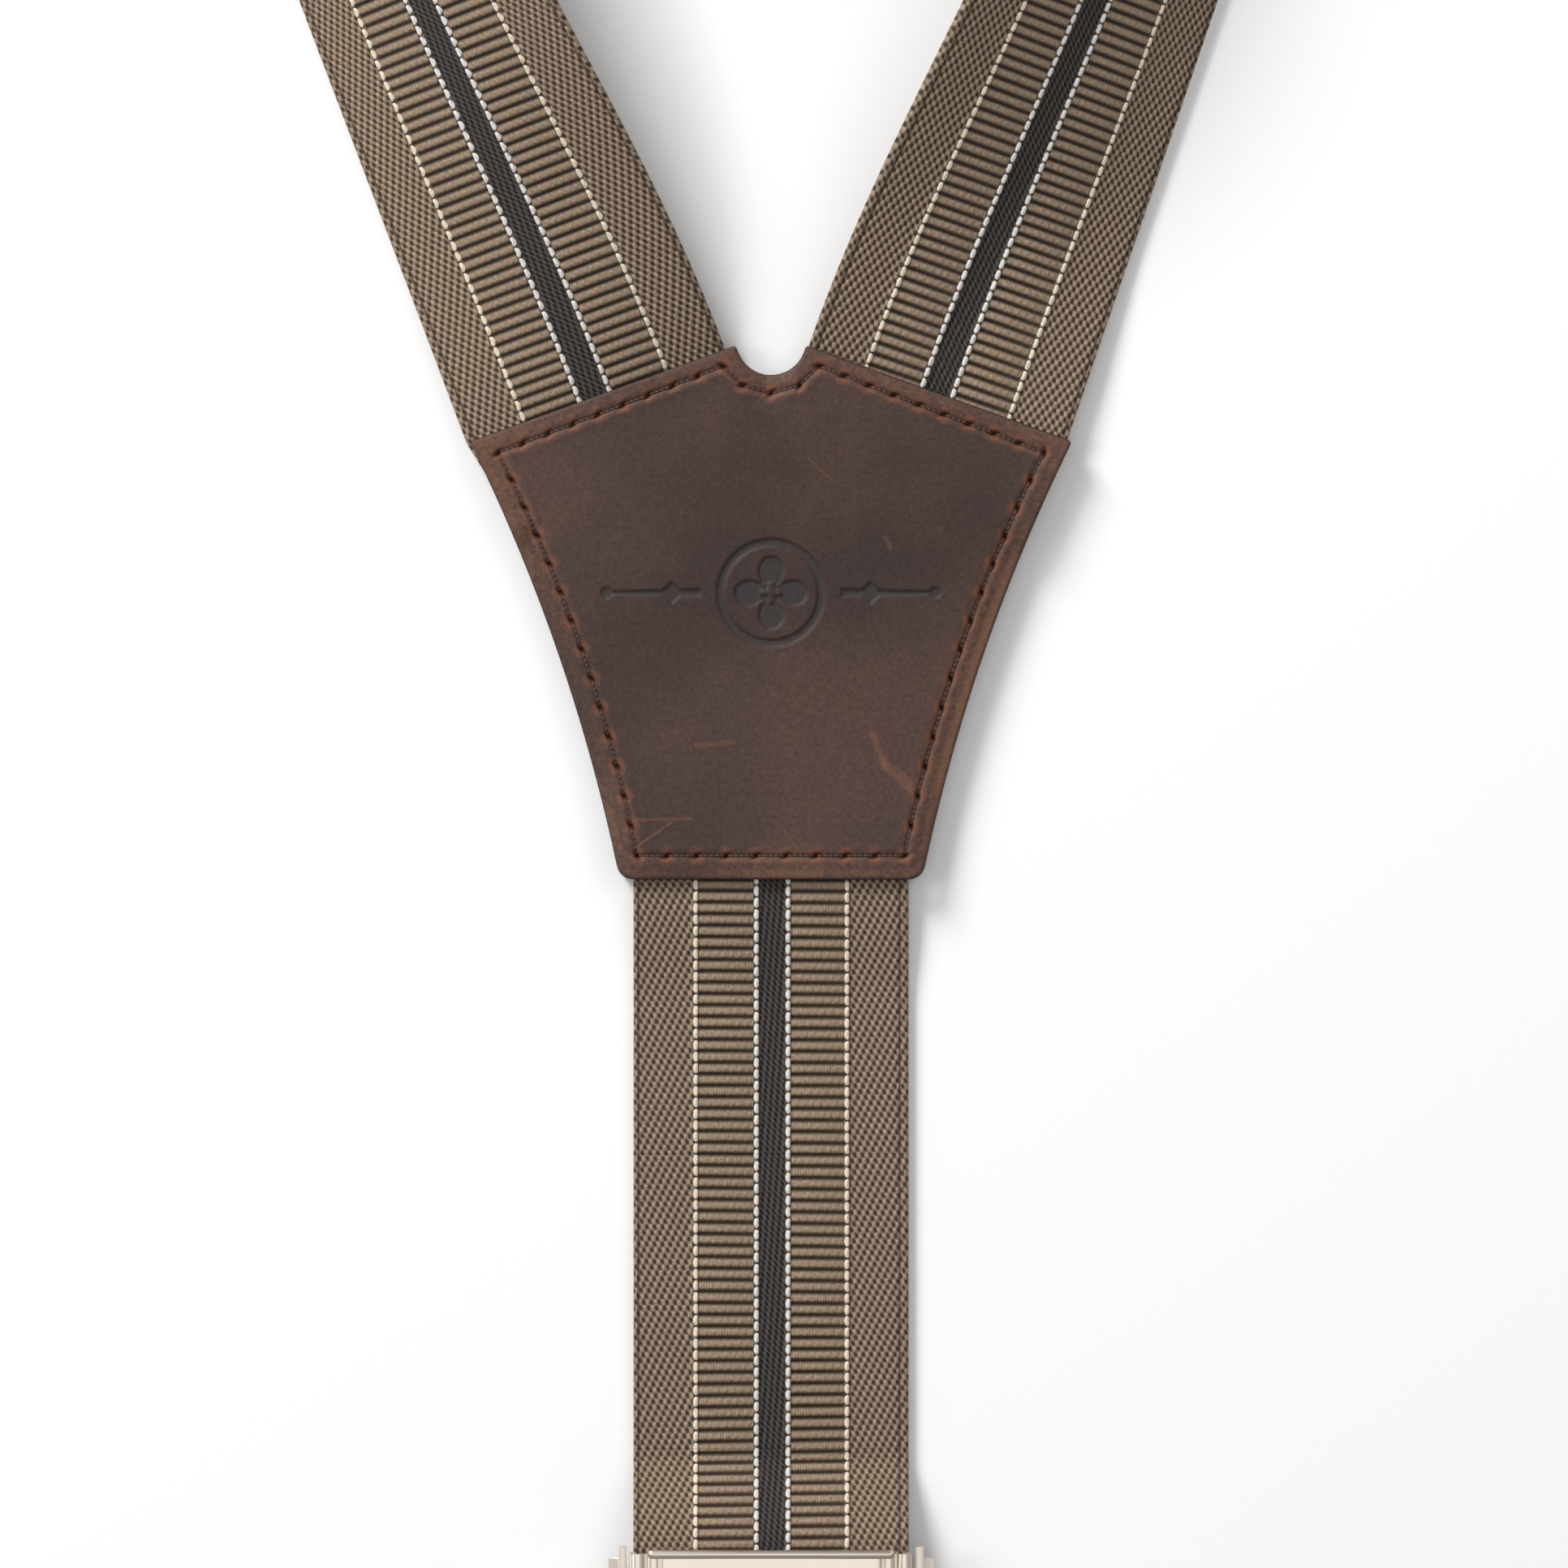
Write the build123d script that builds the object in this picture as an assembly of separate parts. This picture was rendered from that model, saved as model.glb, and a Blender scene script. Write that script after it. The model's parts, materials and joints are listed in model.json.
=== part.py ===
"""Elastic Y-back clip-on suspenders, laid out flat with the face side up.

Frame: +X to the right, +Y from the back clip towards the front straps, +Z out of the face side.
The origin is the centre of the leather yoke's back face, which lies on the plane z = 0.
Every length is in millimetres and every angle in degrees.
"""
import math
import os

from build123d import *

os.makedirs("parts", exist_ok=True)

# ---------------------------------------------------------------- driving dimensions

WEB_WIDTH = 36.0  # standard suspender webbing
WEB_THICK = 1.6
PLY_GAP = 0.1  # between two layers of webbing, and between webbing and metal

# Yoke: two leathers sewn round the strap ends.
LEATHER_THICK = 1.3
YOKE_CORNER = (39.4, 22.3)  # upper outer corner
YOKE_WAIST = (27.5, -6.5)  # middle of the hollow side
YOKE_FOOT = (19.8, -35.0)  # lower corner
YOKE_LIP = (4.55, 34.9)  # where the upper edge turns into the notch
NOTCH_BOTTOM = 31.0
YOKE_CORNER_RADIUS = 0.9
STITCH_INSET = 3.4
STITCH_PITCH = 3.95
STITCH_SIZE = (2.9, 0.55, 0.35)
GROOVE_WIDTH = 1.1
GROOVE_DEPTH = 0.45
CORE_INSET = 5.0
SEWN_DEPTH = {"front": 12.0, "back": 15.0}  # how far a strap reaches into the yoke
SEWN_TRIM = 2.4  # cut off the outer corner of a front strap's sewn end

# Front straps: how each one lies.
SIDES = ("left", "right")
LEAN = {"left": 20.6, "right": 18.8}  # of the outer edge, from +Y
OUTER_EDGE = {"left": (-39.8, 22.0), "right": (38.6, 22.0)}  # where it leaves the yoke
TWIST_PEAK = 37.0  # the inner edge lifts off the table
TWIST_RISE = 84.0
TWIST_END = 250.0
SETTLE = 30.0  # distance over which a strap comes down from the yoke to the table
STATION = 12.0  # spacing of the sections of the twisted stretch

# Distances along a front strap, from the yoke's edge.
STRETCH_JOIN = 300.0  # upper and lower lengths of webbing meet
ADJUSTER_AT = 560.0
FRONT_CLIP_AT = 775.0
# Distances along the back strap.
BACK_JOIN = 72.0
BACK_CLIP_AT = 96.6

# Clip, in its own frame: loop bar at y = 0, +y towards the strap, z = 0 on the table.
SHEET = 0.9
BAR_RADIUS = 1.3
BAR_HEIGHT = 4.5
PIVOT_Y = -27.0
PIVOT_HEIGHT = 7.4
PIN_RADIUS = 1.2
PIN_CLEARANCE = 0.05
KNUCKLE_RADIUS = 2.2
COVER_HALF_WIDTH = 18.5
COVER_TOP_Y = 9.2
PANEL_HALF_WIDTH = 16.1
BEAD_HEIGHT = 0.5
EAR_INNER = 18.9
EAR_OUTER = 19.9
FLARE_OUTER = 21.3
EAR_TOP_Y = 9.6
BASE_END_Y = -36.0
BASE_PLATE_TOP_Y = -4.0
JAW_HALF_WIDTH = 15.0
PAD_THICK = 1.0
JAW_GAP = 0.4

# Adjuster, in its own frame: +y towards the yoke, z = 0 on the table.
ADJ_HALF_LENGTH = 12.0
ADJ_PLATE_Z = 1.8
ADJ_SHEET = 0.8
ADJ_EAR_INNER = 18.7
ADJ_EAR_OUTER = 19.7
ADJ_SLOT = (-8.5, -5.5)
ADJ_PIVOT = (8.0, 6.2)
ADJ_PIN_RADIUS = 0.9
ADJ_KNUCKLE = 1.8
ADJ_LEVER_HALF_WIDTH = 18.3
ADJ_LEVER_END = -11.5
TOOTH_PITCH = 2.4


# ---------------------------------------------------------------- helpers


def save(node, shape):
    shape.label = node
    export_step(shape, f"parts/{node}.step")


def block(x, y, z):
    """A box from its three ranges."""
    size = [high - low for low, high in (x, y, z)]
    middle = [(low + high) / 2 for low, high in (x, y, z)]
    return Pos(*middle) * Box(*size)


def rod(radius, half_length, y, z):
    """A cylinder along X."""
    return Pos(0, y, z) * Rot(0, 90, 0) * Cylinder(radius, 2 * half_length)


def across(profile, half_width, offset=0.0):
    """A side profile drawn in (y, z), given width along X."""
    return Pos(offset, 0, 0) * extrude(Plane.YZ * profile, half_width, both=True)


def webbing(path):
    """Flat webbing whose middle follows a path drawn in (y, z)."""
    return across(trace(path, WEB_THICK), WEB_WIDTH / 2)


def group(solids):
    return Compound(children=list(solids))


# ---------------------------------------------------------------- yoke


def mirrored(point):
    return (-point[0], point[1])


def yoke_outline():
    right_side = ThreePointArc(YOKE_CORNER, YOKE_WAIST, YOKE_FOOT)
    left_side = ThreePointArc(mirrored(YOKE_FOOT), mirrored(YOKE_WAIST), mirrored(YOKE_CORNER))
    notch = ThreePointArc(mirrored(YOKE_LIP), (0, NOTCH_BOTTOM), YOKE_LIP)
    edges = [
        Line(YOKE_LIP, YOKE_CORNER),
        right_side,
        Line(YOKE_FOOT, mirrored(YOKE_FOOT)),
        left_side,
        Line(mirrored(YOKE_CORNER), mirrored(YOKE_LIP)),
        notch,
    ]
    face = make_face(edges)
    corners = [v for v in face.vertices() if abs(v.X) > YOKE_LIP[0] + 1]
    return fillet(corners, YOKE_CORNER_RADIUS)


def leather(outline, low, grooved_up):
    """One leather with a sewing groove round its outer face."""
    plate = Pos(0, 0, low) * extrude(outline, LEATHER_THICK)
    outside = offset(outline, -(STITCH_INSET - GROOVE_WIDTH / 2))
    inside = offset(outline, -(STITCH_INSET + GROOVE_WIDTH / 2))
    ring = extrude(outside, GROOVE_DEPTH) - extrude(inside, GROOVE_DEPTH)
    bottom = low + LEATHER_THICK - GROOVE_DEPTH if grooved_up else low
    return plate - Pos(0, 0, bottom) * ring


def stitches(outline, z):
    """One run of stitches, laid in the groove, each a separate short length of thread."""
    line = offset(outline, -STITCH_INSET)
    made = []
    for edge in line.edges():
        count = int(edge.length // STITCH_PITCH)
        for i in range(count):
            along = (i + 0.5) / count
            spot = edge.position_at(along)
            way = edge.tangent_at(along)
            turn = math.degrees(math.atan2(way.Y, way.X))
            made.append(Pos(spot.X, spot.Y, z) * Rot(0, 0, turn) * Box(*STITCH_SIZE))
    return made


def yoke():
    outline = yoke_outline()
    core_low = LEATHER_THICK
    front_low = core_low + WEB_THICK
    save("yoke_back_leather", leather(outline, 0, False))
    save("yoke_front_leather", leather(outline, front_low, True))
    core = extrude(offset(outline, -CORE_INSET), WEB_THICK)
    core = Pos(0, 0, core_low) * core
    for side in SIDES:
        core -= front_frame(side) * pocket("front")
    core -= Pos(0, YOKE_FOOT[1], 0) * Rot(0, 0, 180) * pocket("back")
    save("yoke_stiffener", max(core.solids(), key=lambda s: s.volume))
    half_stitch = STITCH_SIZE[2] / 2
    threads = stitches(outline, half_stitch + PLY_GAP / 2)
    threads += stitches(outline, front_low + LEATHER_THICK - half_stitch - PLY_GAP / 2)
    save("yoke_stitching", group(threads))


def pocket(which):
    """The room for a strap's sewn end, reaching back (-y) from the yoke's edge."""
    half = WEB_WIDTH / 2 + 0.5
    depth = SEWN_DEPTH[which] + 0.5
    return block((-half, half), (-depth, 40), (0, 10))


# ---------------------------------------------------------------- straps


def front_frame(side):
    """A front strap's own frame: y along the strap from the yoke's edge, x = 0 at its middle."""
    sign = -1 if side == "left" else 1
    lean = math.radians(LEAN[side])
    x, y = OUTER_EDGE[side]
    x -= sign * WEB_WIDTH / 2 * math.cos(lean)
    y += WEB_WIDTH / 2 * math.sin(lean)
    return Pos(x, y, 0) * Rot(0, 0, -sign * LEAN[side])


def twist(along):
    if along < TWIST_RISE:
        return TWIST_PEAK * math.sin(math.pi / 2 * along / TWIST_RISE)
    if along > TWIST_END:
        return 0.0
    share = (along - TWIST_RISE) / (TWIST_END - TWIST_RISE)
    return TWIST_PEAK * math.cos(math.pi / 2 * share) ** 2


def edge_height(along):
    """Height of the underside of the outer edge."""
    return LEATHER_THICK * max(0.0, 1 - along / SETTLE)


def twisted_webbing(side):
    """From inside the yoke to the end of the twist, as a ruled solid through flat sections."""
    outer = -1 if side == "left" else 1
    steps = round(TWIST_END / STATION)
    sections = []
    for i in range(steps + 1):
        along = TWIST_END * i / steps
        angle = math.radians(twist(along))
        across_way = Vector(-outer * math.cos(angle), 0, math.sin(angle)) * WEB_WIDTH
        up_way = Vector(outer * math.sin(angle), 0, math.cos(angle)) * WEB_THICK
        foot = Vector(outer * WEB_WIDTH / 2, along, edge_height(along))
        corners = [foot, foot + across_way, foot + across_way + up_way, foot + up_way]
        sections.append(Face(Wire.make_polygon(corners, close=True)))
    return loft(sections, ruled=True)


def sewn_front(side):
    """The end inside the yoke, with its outer corner cut off at a slant to stay between the leathers."""
    outer = -1 if side == "left" else 1
    half = WEB_WIDTH / 2
    depth = SEWN_DEPTH["front"]
    shape = Polygon(
        (-outer * half, 0),
        (outer * half, 0),
        (outer * (half - SEWN_TRIM), -depth),
        (-outer * half, -depth),
        align=None,
    )
    return Pos(0, 0, LEATHER_THICK) * extrude(shape, WEB_THICK, dir=(0, 0, 1))


def front_straps():
    half = WEB_WIDTH / 2
    for side in SIDES:
        place = front_frame(side)
        flat = block((-half, half), (TWIST_END, STRETCH_JOIN), (0, WEB_THICK))
        upper = twisted_webbing(side) + sewn_front(side) + flat
        save(f"front_strap_upper_{side}", place * upper)
        save(f"front_strap_lower_{side}", place * lower_strap())
        save(f"clip_loop_{side}", place * front_clip_loop())


def lower_strap():
    """From the join to the adjuster, and on through it, over the sewn end of the return."""
    mid = WEB_THICK / 2
    in_plate = ADJ_PLATE_Z + ADJ_SHEET + PLY_GAP + mid
    over_end = in_plate + WEB_THICK + PLY_GAP
    at = ADJUSTER_AT
    path = FilletPolyline(
        (STRETCH_JOIN, mid),
        (at - ADJ_HALF_LENGTH - 18, mid),
        (at - ADJ_HALF_LENGTH - 4, in_plate),
        (at - 1, in_plate),
        (at + 4.5, over_end),
        (at + ADJ_HALF_LENGTH + 2, over_end),
        radius=6,
    )
    return webbing(path)


def front_clip_loop():
    """From the adjuster to the clip, round its loop bar and back under itself."""
    mid = WEB_THICK / 2
    over_end = ADJ_PLATE_Z + ADJ_SHEET + 2 * (PLY_GAP + WEB_THICK) - mid
    over_ply = mid + WEB_THICK + PLY_GAP
    start = ADJUSTER_AT + ADJ_HALF_LENGTH + 2
    bar = FRONT_CLIP_AT
    turn = BAR_RADIUS + PLY_GAP / 2 + mid
    top = FilletPolyline(
        (start, over_end),
        (start + 8, over_end),
        (start + 24, over_ply),
        (bar - 24, over_ply),
        (bar - 6, BAR_HEIGHT + turn),
        (bar, BAR_HEIGHT + turn),
        radius=7,
    )
    bend = ThreePointArc((bar, BAR_HEIGHT + turn), (bar + turn, BAR_HEIGHT), (bar, BAR_HEIGHT - turn))
    under = FilletPolyline(
        (bar, BAR_HEIGHT - turn),
        (bar - 4, BAR_HEIGHT - turn),
        (bar - 14, mid),
        (ADJUSTER_AT + 30, mid),
        radius=7,
    )
    return webbing(top) + webbing(bend) + webbing(under)


def sewn_end():
    """The return's end, in the adjuster's frame: under the crossbar, through the slot and back."""
    mid = WEB_THICK / 2
    over = ADJ_PLATE_Z + ADJ_SHEET + PLY_GAP + mid
    slot_middle = sum(ADJ_SLOT) / 2
    radius = (over - mid) / 2 - 0.05
    path = FilletPolyline(
        (-30, mid),
        (slot_middle, mid),
        (slot_middle, over),
        (-ADJ_HALF_LENGTH - 1, over),
        (-ADJ_HALF_LENGTH - 5, mid + WEB_THICK + PLY_GAP),
        (-25, mid + WEB_THICK + PLY_GAP),
        radius=radius,
    )
    return webbing(path)


def thread_rows(rows, z, half_width):
    """Rows of stitches lying across the webbing."""
    made = []
    length = 2.2
    step = 3.2
    count = int(2 * half_width // step)
    for y in rows:
        for i in range(count):
            x = (i - (count - 1) / 2) * step
            made.append(block((x - length / 2, x + length / 2), (y - 0.25, y + 0.25), (z, z + 0.3)))
    return made


def back_strap():
    half = WEB_WIDTH / 2
    mid = WEB_THICK / 2
    edge = YOKE_FOOT[1]
    inside = LEATHER_THICK + mid
    path = FilletPolyline(
        (edge + SEWN_DEPTH["back"], inside),
        (edge - 1, inside),
        (edge - SETTLE / 2, mid),
        (edge - BACK_JOIN, mid),
        radius=20,
    )
    save("back_strap", across(trace(path, WEB_THICK), half))
    bar = edge - BACK_CLIP_AT
    turn = BAR_RADIUS + PLY_GAP / 2 + mid
    sewn = (WEB_THICK + PLY_GAP) / 2
    top = FilletPolyline(
        (edge - BACK_JOIN, mid),
        (bar + 22, mid),
        (bar + 10, BAR_HEIGHT + sewn),
        (bar + 4.5, BAR_HEIGHT + sewn),
        (bar + 1.5, BAR_HEIGHT + turn),
        (bar, BAR_HEIGHT + turn),
        radius=1.2,
    )
    bend = ThreePointArc((bar, BAR_HEIGHT + turn), (bar - turn, BAR_HEIGHT), (bar, BAR_HEIGHT - turn))
    under = FilletPolyline(
        (bar, BAR_HEIGHT - turn),
        (bar + 1.5, BAR_HEIGHT - turn),
        (bar + 4.5, BAR_HEIGHT - sewn),
        (bar + 9, BAR_HEIGHT - sewn),
        radius=1.2,
    )
    save("back_loop", webbing(top) + webbing(bend) + webbing(under))
    height = BAR_HEIGHT + sewn + mid + PLY_GAP / 2
    threads = thread_rows((bar + 6, bar + 8), height, half - 2)
    save("back_loop_stitching", group(threads))


# ---------------------------------------------------------------- clip


def ear_profile():
    """Side wall of the clip, in (y, z), rounded over the pivot pin."""
    wall = Polygon(
        (PIVOT_Y - 3.5, 0),
        (BASE_PLATE_TOP_Y, 0),
        (2.0, 1.2),
        (EAR_TOP_Y, 5.2),
        (EAR_TOP_Y, 9.0),
        (PIVOT_Y, 9.0),
        (PIVOT_Y - 3.5, 5.0),
        align=None,
    )
    return wall + Pos(PIVOT_Y, PIVOT_HEIGHT) * Circle(PIN_RADIUS + 1.6)


def clip_base():
    plate = Polygon(
        (-EAR_OUTER, BASE_PLATE_TOP_Y),
        (EAR_OUTER, BASE_PLATE_TOP_Y),
        (EAR_OUTER, PIVOT_Y - 3.5),
        (JAW_HALF_WIDTH, BASE_END_Y),
        (-JAW_HALF_WIDTH, BASE_END_Y),
        (-EAR_OUTER, PIVOT_Y - 3.5),
        align=None,
    )
    corners = plate.vertices().sort_by(Axis.Y)[:2]
    base = extrude(fillet(corners, 3), SHEET, dir=(0, 0, 1))
    lip = block((-JAW_HALF_WIDTH + 3, JAW_HALF_WIDTH - 3), (BASE_END_Y, BASE_END_Y + SHEET), (0, 2.2))
    base += lip
    thick = (EAR_OUTER - EAR_INNER) / 2
    flare_half = (FLARE_OUTER - EAR_OUTER) / 2
    flare = Polygon((-24, 1.5), (6.0, 3.2), (8.0, 5.0), (8.0, 7.2), (-24, 5.5), align=None)
    for sign in (-1, 1):
        base += across(ear_profile(), thick, sign * (EAR_INNER + thick))
        base += across(flare, flare_half, sign * (EAR_OUTER + flare_half))
    base -= rod(BAR_RADIUS, EAR_OUTER + 0.7, 0, BAR_HEIGHT)
    return base - rod(PIN_RADIUS, EAR_OUTER + 1, PIVOT_Y, PIVOT_HEIGHT)


def clip_lever():
    top = PIVOT_HEIGHT + KNUCKLE_RADIUS
    half = COVER_HALF_WIDTH
    plate = block((-half, half), (PIVOT_Y, COVER_TOP_Y), (top - SHEET, top))
    plate += rod(KNUCKLE_RADIUS, half, PIVOT_Y, PIVOT_HEIGHT)
    tongue_low = SHEET + PAD_THICK + JAW_GAP + PAD_THICK
    jaw = JAW_HALF_WIDTH
    plate += block((-jaw, jaw), (PIVOT_Y - 0.9, PIVOT_Y + 0.9), (tongue_low, PIVOT_HEIGHT))
    bead_half = (COVER_HALF_WIDTH - PANEL_HALF_WIDTH - 0.6) / 2
    for sign in (-1, 1):
        x = sign * (COVER_HALF_WIDTH - bead_half)
        bead = block((x - bead_half, x + bead_half), (PIVOT_Y, COVER_TOP_Y), (top, top + BEAD_HEIGHT))
        long_edges = bead.edges().filter_by(Axis.Y).sort_by(Axis.Z)[-2:]
        plate += fillet(long_edges, 0.4)
        plate += block(
            (sign * half - 0.4 - sign * 0.4, sign * half + 0.4 - sign * 0.4),
            (PIVOT_Y + 3, COVER_TOP_Y),
            (top - SHEET - 0.9, top - SHEET),
        )
    plate += rod(0.6, PANEL_HALF_WIDTH, COVER_TOP_Y - 0.6, top)
    return plate - rod(PIN_RADIUS + PIN_CLEARANCE, half + 1, PIVOT_Y, PIVOT_HEIGHT)


def lever_pad():
    low = SHEET + PAD_THICK + JAW_GAP
    return block((-JAW_HALF_WIDTH, JAW_HALF_WIDTH), (PIVOT_Y - 1.5, PIVOT_Y + 1.5), (low, low + PAD_THICK))


def base_pad():
    """Ribbed jaw pad on the base plate."""
    half = JAW_HALF_WIDTH - 1
    pad = block((-half, half), (PIVOT_Y - 5, PIVOT_Y + 5), (SHEET, SHEET + PAD_THICK - 0.3))
    for i in range(-2, 3):
        y = PIVOT_Y + i * 2.2
        pad += block((-half, half), (y - 0.5, y + 0.5), (SHEET, SHEET + PAD_THICK))
    return pad


def clip(which, place):
    save(f"{which}_clip_base", place * clip_base())
    save(f"{which}_clip_lever", place * clip_lever())
    save(f"{which}_clip_pin", place * rod(PIN_RADIUS, EAR_OUTER + 0.8, PIVOT_Y, PIVOT_HEIGHT))
    save(f"{which}_clip_bar", place * rod(BAR_RADIUS, EAR_OUTER + 0.6, 0, BAR_HEIGHT))
    save(f"{which}_clip_base_pad", place * base_pad())
    save(f"{which}_clip_lever_pad", place * lever_pad())


# ---------------------------------------------------------------- adjuster


def adjuster_frame():
    low = ADJ_PLATE_Z
    high = low + ADJ_SHEET
    long = ADJ_HALF_LENGTH
    frame = block((-ADJ_EAR_OUTER, ADJ_EAR_OUTER), (-long, long), (low, high))
    frame -= block((-ADJ_EAR_INNER, ADJ_EAR_INNER), ADJ_SLOT, (0, 10))
    pivot_y, pivot_z = ADJ_PIVOT
    wall = Polygon(
        (-long, low), (long, low), (long, high + 2), (pivot_y, pivot_z + 1.2), (-long, 5.4), align=None
    )
    wall += Pos(pivot_y, pivot_z) * Circle(ADJ_PIN_RADIUS + 1.2)
    thick = (ADJ_EAR_OUTER - ADJ_EAR_INNER) / 2
    for sign in (-1, 1):
        frame += across(wall, thick, sign * (ADJ_EAR_INNER + thick))
    return frame - rod(ADJ_PIN_RADIUS, ADJ_EAR_OUTER + 1, pivot_y, pivot_z)


def adjuster_lever():
    pivot_y, pivot_z = ADJ_PIVOT
    top = pivot_z + ADJ_KNUCKLE
    half = ADJ_LEVER_HALF_WIDTH
    lever = block((-half, half), (ADJ_LEVER_END, pivot_y), (top - ADJ_SHEET, top))
    lever += rod(ADJ_KNUCKLE, half, pivot_y, pivot_z)
    # Teeth point down from the knuckle and stop just short of the webbing.
    grip = ADJ_PLATE_Z + ADJ_SHEET + PLY_GAP + WEB_THICK + PLY_GAP
    count = int(2 * half // TOOTH_PITCH)
    for i in range(count):
        x = (i - (count - 1) / 2) * TOOTH_PITCH
        lever += block((x - 0.6, x + 0.6), (pivot_y - 0.5, pivot_y + 0.5), (grip, pivot_z - 1.2))
    return lever - rod(ADJ_PIN_RADIUS + PIN_CLEARANCE, half + 1, pivot_y, pivot_z)


def adjuster(side, place):
    pivot_y, pivot_z = ADJ_PIVOT
    save(f"adjuster_frame_{side}", place * adjuster_frame())
    save(f"adjuster_lever_{side}", place * adjuster_lever())
    save(f"adjuster_pin_{side}", place * rod(ADJ_PIN_RADIUS, ADJ_EAR_OUTER + 0.4, pivot_y, pivot_z))
    save(f"strap_end_{side}", place * sewn_end())
    height = 2 * WEB_THICK + PLY_GAP
    threads = thread_rows((-21.5, -23.5), height, WEB_WIDTH / 2 - 2)
    save(f"strap_end_stitching_{side}", place * group(threads))


# ---------------------------------------------------------------- assembly

yoke()
front_straps()
back_strap()
clip("back", Pos(0, YOKE_FOOT[1] - BACK_CLIP_AT, 0))
for side in SIDES:
    along_strap = front_frame(side)
    adjuster(side, along_strap * Pos(0, ADJUSTER_AT, 0) * Rot(0, 0, 180))
    clip(side, along_strap * Pos(0, FRONT_CLIP_AT, 0) * Rot(0, 0, 180))
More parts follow.
